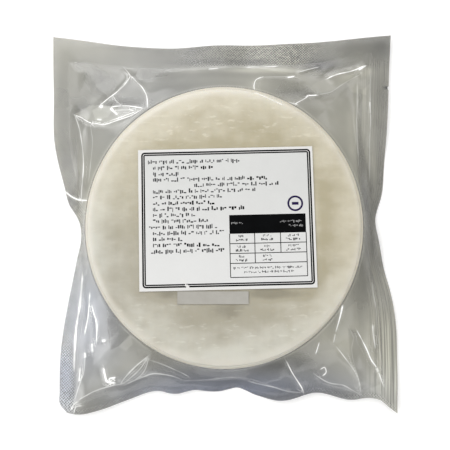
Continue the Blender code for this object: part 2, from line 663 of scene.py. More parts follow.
FRONT_FOLDS = (
    # Upper left: two folds from the top seal, and the puffed pocket beside the stack
    Fold(
        ((-83, 133), (-78, 125), (-78.4, 121.6), (-82, 116), (-88.5, 109.2), (-96, 103.5), (-103, 98)),
        0.9, 0.9, 8, 0.75,
    ),
    Fold(((-85, 130), (-80.5, 124.5), (-81.5, 119), (-87, 112)), 0.4, 0.3, 3, 0.6),
    Fold(((-78, 125), (-72.2, 118.2), (-66.7, 112.6), (-62.4, 105), (-61.8, 95)), 1.0, 0.9, 7, 0.8, -0.35),
    Fold(
        (
            (-124, 92), (-117, 89), (-110, 85), (-104, 83.5),
            (-95.6, 82), (-85.4, 84.7), (-76.3, 88), (-65.5, 94.5),
        ),
        1.3, 1.1, 6,
    ),
    Fold(((-65, 95), (-77, 97), (-84, 97), (-92.5, 96.7)), 1.15, 0.9, 5, 0.85, -0.35),
    Fold(((-71, 92.2), (-76.6, 89.9), (-85.5, 86.3), (-93, 84.2)), 0.95, 0.4, 3, 0.65),
    Fold(((-71, 92.3), (-77, 93.6), (-88, 93.2)), 0.8, 0.3, 3, 0.55),
    Fold(((-91, 106), (-88, 101.5), (-83, 97)), 0.5, 0.5, 4, 0.55),
    Fold(((-102, 98.6), (-99, 97.4)), 1.15, 0.4, 4, 1.8),
    Fold(((-93, 96), (-89.5, 92), (-87, 89.2)), 1.2, 0.5, 4, 1.9),
    Fold(((-103, 87), (-99, 86.2)), 0.9, 0.3, 3, 1.4),
    Fold(((-123, 92), (-118, 78), (-114.8, 62), (-113.5, 48), (-115, 30), (-115.5, 17)), 0.75, 0.9, 5, 0.75),
    Fold(((-109, 84), (-106.5, 68), (-107, 50), (-109, 34)), 0.3, 0.5, 4, 0.7),
    Fold(((-130, 29.5), (-124.7, 24.4), (-117.4, 20.9), (-108.5, 19.3)), 1.3, 0.6, 3, 1.0),
    # Upper right: two long folds from the corner, and one that hooks round beside the stack
    Fold(((117, 133), (105, 128), (92.6, 125), (84, 121)), 1.1, 0.9, 8, 0.75),
    Fold(((117, 132.6), (110.5, 128.4)), 1.2, 0.3, 3, 1.3),
    Fold(((112, 125), (103, 120), (95, 115), (86.8, 109.4), (75, 106.5)), 0.26, 1.0, 9, 0.75, -0.35),
    Fold(((77, 106.7), (67.5, 105.9)), 1.3, 0.5, 4, 1.1),
    Fold(((69, 106.4), (65.9, 103.4), (56.5, 97.5)), 1.05, 0.6, 5, 0.75),
    Fold(((24.2, 109), (24, 114.5), (26, 119.5), (32, 122.6)), 1.15, 0.6, 5, 0.95),
    Fold(((30, 122.2), (44, 123.2), (56, 123.4), (63, 121)), 0.3, 0.5, 4, 0.7),
    Fold(((22.5, 107.3), (30, 103.6), (37, 100), (47.5, 95)), 1.2, 0.15, 3, 1.2),
    Fold(((34, 104.8), (46, 100), (60, 97)), 0.7, 0.15, 3, 0.7),
    Fold(((51.5, 122.6), (58.5, 123.7)), 1.15, 0.4, 4, 1.1),
    Fold(((61, 127.4), (79, 132.8)), 0.75, 0.4, 4, 0.55),
    Fold(((18, 131.2), (31, 133), (45, 133.4)), 1.0, 0.4, 4, 0.8),
    Fold(((-13, 130), (-5, 131)), 0.6, 0.4, 4, 1.1),
    Fold(((121, 132), (119.7, 100), (119, 79), (117.5, 36)), 0.5, 0.6, 4, 0.8),
    Fold(((119.6, 103), (119.4, 92)), 1.0, 0.2, 3, 0.8),
    Fold(((109, 119), (108, 79), (107.5, 48)), 0.3, 0.6, 4, 0.8),
    # Lower left: long folds with painted highlights down the side, a painted glint, and a fan towards the
    # stack
    Fold(((-113, -36), (-114.5, -58), (-116.6, -75), (-117.6, -91), (-118.6, -114)), 1.4, 0.8, 4, 1.55),
    Fold(((-106.5, -53), (-107.4, -64), (-108.5, -74), (-110.5, -86)), 1.1, 0.6, 4, 0.95),
    Fold(((-105, -62), (-103.2, -69), (-100.9, -77), (-101.2, -93)), 1.25, 0.8, 5, 1.05),
    Fold(((-95.6, -89.6), (-94.8, -91.4)), 1.3, 0.4, 4, 3.0),
    Fold(((-104.7, -92.5), (-104.1, -99.5)), 1.3, 0.4, 4, 1.4),
    Fold(((-110, -100), (-109.5, -104)), 1.2, 0.3, 3, 1.3),
    Fold(((-109.6, -102), (-110.3, -114.4), (-113, -122.1), (-117, -138)), 0.5, 0.7, 5, 0.65),
    Fold(((-119.5, -144), (-117, -139.5), (-113.5, -137)), 1.2, 0.2, 3, 1.0),
    Fold(((-117, -146.5), (-115.5, -141.5), (-110.5, -140.5)), 1.0, 0.2, 3, 0.8),
    Fold(((-113.6, -111.5), (-114.4, -122)), 0.95, 0.3, 3, 0.95),
    Fold(((-94.6, -111.5), (-92.8, -118.7), (-91, -122.5), (-84.5, -123.6)), 1.25, 0.6, 5, 1.6),
    Fold(((-90, -120.2), (-84.5, -119.4)), 1.1, 0.3, 3, 1.2),
    Fold(
        ((-81.5, -125.5), (-77.2, -119), (-70.2, -111.5), (-63, -105.5), (-57.8, -101.5)),
        0.65, 0.9, 7, 0.65,
    ),
    Fold(((-81.5, -126), (-73.2, -119.2), (-65.8, -112.2), (-58.5, -102.5)), 0.6, 0.5, 4, 0.65),
    Fold(((-80, -126), (-71, -121.5), (-63, -114.5), (-58, -103)), 0.55, 0.4, 4, 0.6),
    Fold(((-79, -121.5), (-73, -113.5), (-65, -106.5)), 0.4, 0.3, 3, 0.6),
    Fold(((-77, -124), (-64.2, -118.7), (-55.2, -115.9), (-42.5, -117.6), (-31, -122)), 0.5, 0.6, 5, 0.75),
    Fold(((-116, -137.5), (-102.5, -129.8), (-91.3, -126.5), (-75, -123.6)), 0.55, 1.3, 8, 0.75),
    Fold(((-58, -105.5), (-46, -109.5), (-36, -114), (-26, -119.5)), 0.35, 0.6, 5, 0.75),
    # Lower edge and lower right: long folds down to the corner
    Fold(((-36, -122.5), (-10, -120.5), (10, -119.5), (30, -122.5)), 0.22, 0.8, 5, 1.0),
    Fold(((18, -122.4), (37.9, -126.5), (46.7, -129), (62, -131)), 0.5, 0.7, 5, 0.8),
    Fold(((48.2, -106), (52, -114), (54.6, -118.4), (60.2, -127), (61.8, -132)), 1.25, 0.9, 6, 0.9),
    Fold(((69, -116), (80.9, -122.8), (92.2, -125), (99.7, -129), (108.5, -133.8)), 0.42, 0.9, 6, 0.75),
    Fold(((87.5, -95), (95.1, -104.3), (100.1, -111.8), (104.3, -120.5), (107.2, -132)), 0.62, 1.2, 8, 0.8),
    Fold(((92, -62.5), (90.2, -71), (88.7, -78), (87.3, -84)), 1.2, 0.7, 5, 1.05),
    Fold(((87, -85), (85.6, -92)), 0.8, 0.4, 3, 0.9),
    Fold(((73.7, -91.5), (70.7, -100.5)), 0.85, 0.5, 4, 0.85),
    Fold(((75, -113), (78.5, -111.3), (79.7, -115), (76.5, -118)), 0.7, 0.4, 3, 0.8),
    Fold(
        ((104, -82), (109, -91), (112.4, -98.1), (115.4, -105.6), (120.2, -113.1), (125, -127.5)),
        1.2, 1.0, 6, 0.9,
    ),
    Fold(((119.3, -111.6), (121, -115)), 1.25, 0.3, 3, 1.8),
    Fold(((117.5, -78.5), (118.2, -87), (119.4, -97.5)), 1.0, 0.5, 3, 0.85),
    Fold(((97, -79), (101.3, -88), (100, -97), (102.5, -113.1), (108, -132)), 0.2, 0.5, 5, 0.7),
    Fold(((118, -42), (121, -78), (126, -130)), 0.3, 0.5, 3, 0.8),
)
FRONT_FACET_SHADING = (
    PaintedFacet(((-104, 132), (-83, 130), (-78.5, 124), (-82.5, 115.5), (-92, 106)), 0.03),
    PaintedFacet(
        ((-123, 92), (-108, 99.5), (-92, 97.3), (-66, 94.6), (-76, 88), (-86, 84), (-96, 81.8), (-105, 83)),
        0.17,
    ),
    PaintedFacet(((-108, 95), (-99, 99.5), (-90, 96), (-94, 88), (-104, 86)), 0.14),
    PaintedFacet(((33, 131), (66, 131), (116, 133), (101, 119), (88, 111), (74, 108), (64, 121)), 0.05),
    PaintedFacet(((30, 121.5), (61, 121.5), (61, 107), (45, 103.5), (29, 106)), -0.03),
    PaintedFacet(((117, 132), (92, 125), (76, 118), (66, 108), (80, 107), (95, 114), (112, 125)), 0.035),
    PaintedFacet(((118, 132), (110, 124), (100, 117), (104, 110), (117, 108), (121, 130)), 0.08),
    PaintedFacet(
        (
            (110, 113), (113.5, 112), (111, 72), (109, 45), (113, 28),
            (117.5, 8), (112, 12), (105.5, 42), (107, 75),
        ),
        -0.07,
    ),
    PaintedFacet(((114, 112), (120, 118), (119, 60), (117, 45), (112, 66)), 0.07),
    PaintedFacet(((-92, -65.5), (-83, -75), (-74, -85.5), (-82, -94), (-88.5, -97), (-91, -86)), -0.13),
    PaintedFacet(((-73, -86), (-71.5, -93), (-76.5, -98), (-82.5, -94.5)), 0.10),
    PaintedFacet(
        (
            (-116, -137), (-102.5, -129.8), (-91, -126.5), (-78, -124),
            (-64, -118.7), (-47, -119), (-75, -138), (-116, -150),
        ),
        -0.07,
    ),
    PaintedFacet(
        ((71, -99), (89, -97.4), (95, -104.3), (105, -128), (81, -122.8), (71, -112.8), (65.4, -101.7)),
        0.035,
    ),
    PaintedFacet(((92, -68), (103, -60), (106, -82), (97, -80), (101, -90), (98, -103), (90, -98), (84, -92)), 0.05),
    PaintedFacet(
        (
            (97, -80.5), (105.6, -84), (113, -99.4), (122.5, -124.2),
            (108.5, -130.4), (102.5, -113), (99, -104),
        ),
        -0.12,
    ),
)
# The film's tone, which paints its light and shade, the broad changes first and the finer ones after them
FILM_SHADING_PATCHES = tuple(
    SoftPatch(*row)
    for row in (
        (-50, 90, 80, 60, 0.0, 0.22), (-110, -75, 32, 60, 0.125, 0.5), (-126, -120, 14, 34, 0.04, 0.62),
        (-116, -100, 7, 30, 0.06), (5, -132, 85, 20, -0.19, 1.0), (25, -130, 18, 6, 0.05),
        (127, 35, 16, 80, -0.13), (117, -4, 9, 24, -0.09), (116, -44, 12, 20, -0.05),
        (128, 152, 40, 20, -0.15), (80, 140, 28, 24, -0.09), (-45, 146, 60, 16, -0.10),
        (5, 119, 50, 5, 0.06), (-112, 150, 42, 16, 0.08), (-114, 118, 14, 18, 0.04),
        (-100, 66, 10, 18, 0.07), (-108, 44, 7, 12, 0.08), (-123, 35, 10, 30, -0.07),
        (92, 84, 16, 28, 0.07), (112, 95, 7, 30, 0.05), (122, -112, 26, 52, 0.17),
        (128, -124, 14, 14, 0.08), (115, -122, 7, 7, 0.10), (90, -134, 26, 5, -0.06),
        (0, -118, 48, 6, -0.06), (-57, -102, 18, 8, -0.06), (45, -108, 25, 7, -0.08),
        (77, -83, 8, 11, 0.09), (-107, -97, 9, 26, -0.06), (-98, -85, 6, 14, -0.07),
        (62, -134, 42, 5, -0.06), (134, 114.8, 2.4, 1.1, -0.30), (24, 129, 28, 3, 0.28),
        (-28, 128.5, 14, 2.5, 0.14), (50, 129, 10, 3, 0.08), (116, 128, 7, 4, 0.17),
        (101, 123, 9, 3, 0.12), (80, 133, 14, 6, -0.20), (-26, 147, 12, 6, -0.10),
        (-15, 136.5, 28, 3, -0.13), (25, 136.5, 14, 3, -0.16), (-82, 152, 24, 4, -0.06),
        (-119, 134, 8, 5, -0.08), (-106, 126, 9, 6, -0.06), (-98, 115, 7, 6, -0.07),
        (-80, 99, 17, 4, -0.16), (-132, 85, 5, 10, -0.05), (-127, 20, 5, 10, -0.11),
        (-117, 8, 4, 10, 0.05), (-87, -78, 5, 12, -0.12), (-112, -74, 4, 10, -0.14),
        (-117.5, -112, 4, 24, -0.18), (-131, -122, 5, 12, -0.15), (-130, -143, 6, 4, -0.09),
        (-98, -115, 3, 4, -0.09), (-86, -132, 8, 6, 0.08), (-104, -58, 5, 14, 0.10),
        (-102, -90, 3, 8, 0.10), (120, -92, 4, 9, -0.08), (84, -97, 12, 12, 0.04),
        (55, -108, 16, 4, -0.07), (60, 122, 10, 4, 0.05), (132, 148, 8, 12, -0.06),
        (-72, -112, 14, 8, 0.05), (-128, -98, 5, 12, 0.05), (127, -30, 4, 10, -0.09),
        (110, -55, 5, 14, -0.05), (118, -20, 4, 10, -0.05), (121, 50, 3.5, 26, 0.17),
        (110.5, 48, 3, 26, -0.08), (103, 60, 4, 20, 0.12), (108, 38, 3.5, 14, 0.09),
        (66, 108, 16, 4, -0.12), (27, 114, 12, 7, 0.15), (-134, 115, 6, 12, -0.05),
        (-108, 122, 8, 5, -0.05), (103, 88, 4, 12, 0.05), (-65, 125, 8, 4, -0.07),
        (-78, 128, 5, 6, 0.06), (-104, 103, 6, 4, 0.08), (-64, 113, 5, 5, 0.06), (-126, 98, 4, 3, 0.06),
        (120, 33, 3, 12, -0.06), (35, -110, 12, 4, -0.06), (94, -92, 9, 12, 0.04),
        (112, 20, 4, 22, -0.05), (109, -25, 5, 24, -0.05), (104, -58, 5, 16, -0.05),
        (132, -58, 5, 12, -0.07), (132, 110, 7, 14, -0.08), (97, -97, 8, 12, 0.04),
        (-121, 20, 6, 8, -0.06), (-115, 54, 5, 11, 0.08), (-112, 10, 6, 12, 0.10),
        (-109, -30, 5, 12, 0.07), (-103, -50, 6, 16, 0.05), (-87, 79, 8, 5, 0.08),
        (-101, 115, 16, 16, -0.05), (-120, 98, 12, 12, -0.06), (-129, 56, 7, 14, -0.08),
        (-117, 94, 5, 5, -0.08), (-88, 85, 14, 5, 0.14), (-118, 97, 7, 5, -0.04),
        (-123, -115, 9, 24, 0.05), (-118, -140, 7, 5, 0.2), (-101, -122, 6, 8, 0.09),
        (-91, -114, 5, 8, 0.08), (-72, -118, 22, 10, 0.035), (-88, -80, 6, 14, -0.05),
        (-25, -127, 45, 6, 0.04), (35, -137, 12, 4, -0.05), (75, -133, 14, 4, -0.05),
        (112, -137, 16, 4, -0.07), (20, -119, 50, 4, 0.04), (-62, -131, 8, 5, 0.07),
        (-105, -147, 18, 4, -0.10),
    )
)
# The mottling of the top sheet, with painted shade below the label's lower edge
PAPER_TONE_AND_SHADE_PATCHES = tuple(
    SoftPatch(*row)
    for row in (
        (0, 0, 400, 400, -0.03), (5, 86, 17, 9, 0.20), (-42, 72, 32, 8, 0.18), (-76, 58, 16, 14, 0.12),
        (47, 79, 24, 12, -0.12), (15, 63, 52, 5, -0.22), (-88, -42, 9, 26, -0.14),
        (-77, -73, 13, 14, -0.24), (4, -67, 18, 9, -0.64), (-44, -54, 11, 6, -0.50),
        (-35, -67, 9, 8, 0.12), (-30, -87, 12, 8, 0.28), (-22, -101, 32, 5, 0.12),
        (77, 8, 8, 12, -0.12), (74, -38, 4, 14, -0.22), (36, -53, 24, 6, -0.50),
        (62, -68, 12, 7, -0.15), (-76, -55, 11, 5, 0.14), (86, -55, 9, 5, 0.22), (60, 92, 12, 8, -0.12),
        (-14, 98, 16, 4, 0.10), (90, 48, 9, 16, -0.10), (98, 30, 8, 40, 0.07), (0, 107, 50, 5, 0.15),
        (-106, 10, 3, 40, -0.08), (-88, -66, 6, 12, -0.2), (-62, -92, 16, 8, -0.18),
        (78, 5, 5, 30, -0.10), (78, -35, 4, 9, -0.2),
    )
)
BACK_FOLDS = (
    Fold(((-125, 120), (-84, 88)), 0.5, 1.6, 7),
    Fold(((122, 125), (80, 92)), 0.5, 1.6, 7),
    Fold(((-120, -118), (-84, -84)), 0.5, 1.6, 7),
    Fold(((124, -128), (84, -86)), 0.5, 1.6, 7),
)


FRONT_FILM = FilmSide(Side.FRONT, "film_front", 285, 305, 11, FRONT_FOLDS, FRONT_FACET_SHADING, 1.0)
BACK_FILM = FilmSide(Side.BACK, "film_back", 170, 186, 47, BACK_FOLDS, (), 0.8)


@dataclass(frozen=True)
class SealWidths:
    """How wide the pouch's seals are, as shares of the pouch."""

    left: float = 0.043
    right: float = 0.052
    top: float = 0.061
    bottom: float = 0.012
    top_narrowing: float = 0.017  # how much narrower the top seal is at its right end
    narrows: tuple[float, float] = (0.76, 0.93)  # where along its length it narrows


@dataclass
class PouchFilm:
    """The two clear films of the pouch, sealed together at the edge."""

    stack: StackSize
    edge: SealedEdge
    seals: SealWidths
    material: Material
    front: FilmSide = FRONT_FILM
    back: FilmSide = BACK_FILM
    film_gap: float = 0.0003  # between the two films where they lie on each other
    over_face: float = 0.0001  # how far the front film stands off the stack
    base_light: float = 0.305
    edge_height: float = 0.0019
    corner_lift: float = 0.0030
    corner_reach: float = 0.110
    droop_power: float = 1.5
    pucker_height: float = 0.0012
    pucker_waves: tuple = ((7, 1.3, 1.0), (11, 0.4, 0.7), (18, 2.2, 0.5))
    bridge_length: float = 0.0020
    bridge_share: float = 0.45
    bridge_power: float = 1.6
    seal_edge: float = 0.034  # how softly the films part beside a seal
    least_height: float = 0.0002
    wander: float = 0.7  # how far straight creases stray, in millimetres
    wander_cell: float = 17
    # Painted light round the stack's rim: a highlight ring, dimmed on one side, and a halo on the lit side
    ring_painted_light: float = 0.20  # a painted highlight: the light ring where the film turns down over the rim
    ring_width: float = 0.0024
    ring_painted_shade: float = 0.8
    painted_shade_side: float = math.radians(222)
    halo_painted_light: float = 0.06  # a fainter, wider painted highlight outside it, on the lit side
    halo_width: float = 0.005
    painted_lit_side: float = math.radians(150)
    notch_at: float = 0.1145
    notch_depth: float = 0.0028
    notch_half_width: float = 0.0013

    def seam_height(self, x: Array, y: Array, angle: Array, share: Array) -> Array:
        """Work out the height of the plane between the films.

        Args:
            x: Places along X.
            y: Places along Y.
            angle: Angle about the stack's centre.
            share: Shares of the way from the stack's rim out to the edge.

        Returns:
            The height at each place.
        """
        pucker = sum(k * np.cos(waves * angle + phase) for waves, phase, k in self.pucker_waves)
        corners = [self.edge.points[self.edge.corner(a, b)] for a in (-1, 1) for b in (-1, 1)]
        away = np.min([np.hypot(x - cx, y - cy) for cx, cy in corners], axis=0)
        edge = self.edge_height + self.corner_lift * np.clip(1 - away / self.corner_reach, 0, 1) ** 2
        seam = edge + (self.stack.height / 2 - edge) * (1 - share) ** self.droop_power
        return np.maximum(seam + self.pucker_height * pucker * share, self.least_height + self.film_gap)

    def seal_mask(self, u: Array, v: Array) -> Array:
        """Find the seals.

        Args:
            u: Shares of the way across.
            v: Shares of the way up.

        Returns:
            1 in the seals and 0 away from them.
        """
        soft, seals = self.seal_edge, self.seals
        left = 1 - smoothstep(seals.left, seals.left + soft, u)
        right = smoothstep(1 - seals.right - soft, 1 - seals.right, u)
        v_top = v - seals.top_narrowing * smoothstep(*seals.narrows, u)
        top = smoothstep(1 - seals.top - soft, 1 - seals.top, v_top)
        bottom = 1 - smoothstep(seals.bottom, seals.bottom + soft, v)
        return np.max([left, right, top, bottom], axis=0)

    def strayed(self, film: FilmSide, x: Array, y: Array) -> tuple[Array, Array]:
        """Shift places a little, so that no crease is quite straight, all in millimetres.

        Args:
            film: Which film.
            x: Places along X.
            y: Places along Y.

        Returns:
            The shifted places along X and along Y.
        """
        shift_x, shift_y = (soft_noise(x, y, self.wander_cell, film.seed + k) for k in (0, 1))
        return x + self.wander * shift_x, y + self.wander * shift_y

    def folds(
        self, film: FilmSide, x: Array, y: Array, out: Array, angle: Array
    ) -> tuple[Array, Array, Array]:
        """Work out a film's named folds and its crumple, all in millimetres.

        Args:
            film: Which film.
            x: Places along X.
            y: Places along Y.
            out: Distance out from the stack's rim.
            angle: Angle about the stack's centre.

        Returns:
            The lift, the offset from the nearest fold's crest in widths of its line, and how bright
            the painted highlight along that line is.
        """
        lift = np.zeros_like(x)
        offset, line = np.full(x.shape, 9.0), np.zeros_like(x)
        wx, wy = self.strayed(film, x, y)
        uneven = np.clip(0.85 + 0.45 * soft_noise(x, y, 6, film.seed + 20), 0.3, 1.15)
        spread = 0.88 + 0.3 * soft_noise(x, y, 9, film.seed + 21)
        for fold in film.folds:
            height, away, ends = fold.shape(wx, wy)
            lift += height
            widths = away / (fold.line_width * spread)
            # the painted highlight along the crest, uneven in strength
            bright = fold.line * ends * uneven * np.clip(2 - np.abs(away) / 2.0, 0, 1)
            nearer = (np.abs(widths) < np.abs(offset)) & (bright > 0)
            offset = np.where(nearer, widths, offset)
            line = np.where(nearer, bright, line)
        lift += film.crumple * 0.32 * crumpled_facets(wx, wy, 28, film.seed + 2)
        lift += film.crumple * 0.14 * crumpled_facets(angle * 165, out * 0.8, 12, film.seed + 3)
        lift += film.crumple * 0.04 * crumpled_facets(wx, wy, 6, film.seed + 4)
        return lift, offset, line

    def tones(self, film: FilmSide, x: Array, y: Array) -> tuple[Array, Array]:
        """Work out the film's tone, which paints its light and shade.

        Args:
            film: Which film.
            x: Places along X, in millimetres.
            y: Places along Y, in millimetres.

        Returns:
            How light the film is at each place, with its painted light and shade, and how cool.
        """
        # Painted light and shade: soft patches, the listed facets and the crumple's facets
        light, cool = np.full(x.shape, self.base_light), np.zeros_like(x)
        for patch in FILM_SHADING_PATCHES:
            cover = patch.cover(x, y)
            light += patch.light * cover
            cool = np.maximum(cool, patch.cool * cover)
        wx, wy = self.strayed(film, x, y)
        for facet in film.facets:
            light += facet.light * facet.cover(wx, wy)
        light += 0.016 * crumpled_facets(wx, wy, 24, film.seed + 13)
        light += 0.012 * soft_noise(x, y, 6, film.seed + 14)
        return np.clip(light, 0.012, 0.9), cool

    def shape(self, film: FilmSide, u: Array, v: Array) -> tuple[Array, dict[str, Array]]:
        """Work out where each point of a film lies.

        Args:
            film: Which film.
            u: Shares of the way across.
            v: Shares of the way up.

        Returns:
            The places, and what the film's finish reads at each by name.
        """
        x, y = self.edge.lay_out(u, v)
        angle, radius = np.arctan2(y, x), np.hypot(x, y)
        rim = self.stack.rim(angle)
        width = self.edge.reach(angle) - rim
        out = radius - rim
        share = np.clip(out / width, 0, 1)
        on_stack = 1 - smoothstep(-0.0003, 0.0009, out)
        seam = self.seam_height(x, y, angle, share)
        lift, offset, line = self.folds(film, x / MM, y / MM, out / MM, angle)
        light, cool = self.tones(film, x / MM, y / MM)
        # A painted highlight ring along the rim, dimmed towards the lower left, and a wider painted halo
        # towards the upper left
        ring_shade_factor = 1 - self.ring_painted_shade * smoothstep(0.55, 0.92, np.cos(angle - self.painted_shade_side))
        light += self.ring_painted_light * ring_shade_factor * (1 - smoothstep(0.0, self.ring_width, out))
        lit = smoothstep(-0.5, 0.7, np.cos(angle - self.painted_lit_side))
        light += self.halo_painted_light * (1 - smoothstep(0.0, self.halo_width, out)) * lit
        seal = self.seal_mask(u, v)
        free = smoothstep(-0.002, 0.012, out) * (1 - 0.92 * seal)
        free *= 0.35 + 0.65 * smoothstep(0.0, 0.010, (1 - share) * width)
        cling = np.clip(1 - out / (self.bridge_length + self.bridge_share * width), 0, 1) ** self.bridge_power
        rounding = self.stack.below_face(np.maximum(-out, 0))
        side_end = self.stack.rim_below[-1]
        relief = 0.10 * soft_noise(x / MM, y / MM, 11, film.seed + 7)
        relief += 0.06 * soft_noise(x / MM, y / MM, 5, film.seed + 8)
        if film.side is Side.FRONT:
            flat = seam + self.film_gap / 2 + np.maximum(lift + 0.8, 0) * MM * free
            skirt = flat + (self.stack.height - side_end - flat) * cling
            face = self.stack.height - rounding + self.over_face + relief * MM
            z = np.where(out > 0, skirt, face)
        else:
            flat = seam - self.film_gap / 2 - np.maximum(lift + 0.3, 0) * MM * free
            skirt = flat + (side_end - flat) * cling
            z = np.where(out > 0, skirt, rounding + self.least_height)
            z = np.maximum(z, self.least_height)
        x = x - self.notch(y, u)
        finish = {
            "on_stack": on_stack,
            "fold_offset": offset,
            "fold_painted_glint": line * (1 - 0.3 * seal),
            "film_painted_light": light,
            "film_cool": cool,
        }
        return np.stack([x, y, z], 1), finish

    def notch(self, y: Array, u: Array) -> Array:
        """Return how far the tear notch draws each point of the right edge in."""
        nick = np.clip(1 - np.abs(y - self.notch_at) / self.notch_half_width, 0, 1)
        return self.notch_depth * nick * (u > 0.9999)

    def build_side(self, film: FilmSide) -> Piece:
        """Make one film.

        Args:
            film: Which film.

        Returns:
            The dressed film.
        """
        sheet = add_grid(film.name, film.columns, film.rows)
        flat = vertex_array(sheet)
        u, v = flat[:, 0] + 0.5, flat[:, 1] + 0.5
        places, finish = self.shape(film, u, v)
        places[:, 2] = self.soften(places[:, 2], film)
        set_vertex_array(sheet, places)
        for name, values in finish.items():
            set_vertex_value(sheet, name, values)
        if film.side is Side.BACK:
            sheet.data.flip_normals()
        sheet.data.shade_smooth()
        return dress(sheet, self.material)

    @staticmethod
    def soften(z: Array, film: FilmSide) -> Array:
        """Round off what is sharper than the mesh can carry.

        Args:
            z: The heights of a film's vertices, row by row.
            film: Which film.

        Returns:
            The softened heights.
        """
        grid = z.reshape(film.rows + 1, film.columns + 1)
        inner = grid[1:-1, 1:-1]
        around = (grid[:-2, 1:-1] + grid[2:, 1:-1] + grid[1:-1, :-2] + grid[1:-1, 2:]) / 4
        softened = grid.copy()
        softened[1:-1, 1:-1] = 0.7 * inner + 0.3 * around
        return softened.ravel()

    def build(self) -> list[Piece]:
        """Make both films; the front one stands for the solid pouch.

        Returns:
            The two films.
        """
        front, back = self.build_side(self.front), self.build_side(self.back)
        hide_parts("pouch")
        return [front, back]


# ---------------- the sheets


@dataclass
class SheetStack:
    """The round rice paper sheets in the pouch."""

    stack: StackSize
    material: Material
    sheets: int = 30
    sheet_thickness: float = 0.00042
    floor_gap: float = 0.0006
    under_film: float = 0.0006
    rim_points: int = 180
    rim_gap: float = 0.00035
    rim_spread: float = 0.0004
    rim_wave: float = 0.0002
    rim_ripple: float = 0.00006
    top_grid: int = 200
    mat_turn: float = math.radians(8)
    mat_pitch: float = 9.0  # the woven mat's print, in millimetres
    mat_relief: float = 0.085
    mat_warp: float = 2.2
    seed: int = 5

    def model_sheet(self) -> Piece:
        """Model one flat sheet of unit radius with a softened rim.

        Returns:
            The sheet.
        """
        deselect_all()
        bpy.ops.mesh.primitive_cylinder_add(vertices=self.rim_points, radius=1, depth=self.sheet_thickness)
        sheet = bpy.context.object
        with edit_mode(sheet) as mesh:
            for face in mesh.faces:
                if abs(face.normal.z) > 0.9:
                    face.select_set(True)
            bpy.ops.mesh.inset(thickness=0.02, use_individual=True)
        soft = sheet.modifiers.new("soft rim", "BEVEL")
        soft.width = self.sheet_thickness * 0.3
        soft.segments = 1
        soft.limit_method = "ANGLE"
        apply_modifiers(sheet)
        return sheet

    def place_sheet(self, sheet: Piece, height: float, random: np.random.RandomState) -> None:
        """Spread a sheet of unit radius to its size at its height, with its own uneven rim.

        Args:
            sheet: A copy of the modelled sheet.
            height: The height of its middle.
            random: What its unevenness is drawn from.
        """
        from_face = min(height, self.stack.height - height)
        inset = self.stack.rim_inset_at(from_face) + self.rim_gap + self.rim_spread * random.rand()
        places = vertex_array(sheet)
        angle = np.arctan2(places[:, 1], places[:, 0])
        share = np.hypot(places[:, 0], places[:, 1])
        wave = sum(
            random.uniform(-1, 1) * np.cos(n * angle + random.uniform(0, 2 * math.pi)) / math.sqrt(n)
            for n in (2, 3, 5, 9, 17)
        )
        radius = (self.stack.rim(angle) - inset + self.rim_wave * wave) * share
        ripple = self.rim_ripple * np.cos(7 * angle + random.uniform(0, 6)) * share**4
        shaped = np.stack([radius * np.cos(angle), radius * np.sin(angle), places[:, 2] + height + ripple], 1)
        set_vertex_array(sheet, shaped)

    def build_pile(self) -> Piece:
        """Make all the sheets under the top one, as one piece.

        Returns:
            The dressed pile.
        """
        random = np.random.RandomState(self.seed)
        pattern = self.model_sheet()
        low = self.floor_gap + self.sheet_thickness / 2
        high = self.stack.height - self.under_film - 2 * self.sheet_thickness
        sheets = []
        for height in np.linspace(low, high, self.sheets):
            sheet = copy_piece(pattern)
            self.place_sheet(sheet, float(height), random)
            sheets.append(sheet)
        bpy.data.objects.remove(pattern)
        pile = join_pieces(sheets, "rice_paper_sheets")
        pile.data.shade_smooth()
        pile.data.set_sharp_from_angle(angle=math.radians(50))
        return dress(pile, self.material)

    def build_top_sheet(self) -> Piece:
        """Make the top sheet, with the print of the mat that it was dried on.

        Returns:
            The dressed sheet.
        """
        sheet = add_grid("top_rice_paper_sheet", self.top_grid, self.top_grid)
        flat = vertex_array(sheet) * 2
        a, b = flat[:, 0], flat[:, 1]
        x, y = a * np.sqrt(1 - b * b / 2), b * np.sqrt(1 - a * a / 2)  # a square laid out as a disc
        angle, share = np.arctan2(y, x), np.hypot(x, y)
        radius = (self.stack.rim(angle) - self.stack.rim_inset[0] * 0.35 - self.rim_gap) * share
        x, y = radius * np.cos(angle) / MM, radius * np.sin(angle) / MM
        below = self.stack.below_face(self.stack.rim(angle) - radius)
        z = self.stack.height - self.under_film * 0.55 - below * 1.02
        z += self.mat_print(x, y) * MM
        set_vertex_array(sheet, np.stack([x * MM, y * MM, z], 1))
        tone = sum(patch.light * patch.cover(x, y) for patch in PAPER_TONE_AND_SHADE_PATCHES)
        set_vertex_value(sheet, "paper_tone_and_shade", tone)
        thicken(sheet, self.sheet_thickness * 0.6)
        sheet.data.shade_smooth()
        return dress(sheet, self.material)

    def mat_print(self, x: Array, y: Array) -> Array:
        """Work out the relief of a woven mat, all in millimetres.

        Args:
            x: Places along X.
            y: Places along Y.

        Returns:
            The height at each place.
        """
        c, s = math.cos(self.mat_turn), math.sin(self.mat_turn)
        across = x * c - y * s + self.mat_warp * soft_noise(x, y, 23, 301)
        along = x * s + y * c + self.mat_warp * soft_noise(x, y, 23, 302)
        weave = np.sin(across * math.pi / self.mat_pitch) * np.sin(along * math.pi / self.mat_pitch)
        strength = 0.5 + 0.5 * soft_noise(x, y, 30, 303)
        fine = soft_noise(x, y, 4.0, 304)
        return self.mat_relief * weave * strength + 0.03 * fine

    def build(self) -> list[Piece]:
        """Make the stack.

        Returns:
            The pile and its top sheet.
        """
        return [self.build_pile(), self.build_top_sheet()]


# ---------------- the label


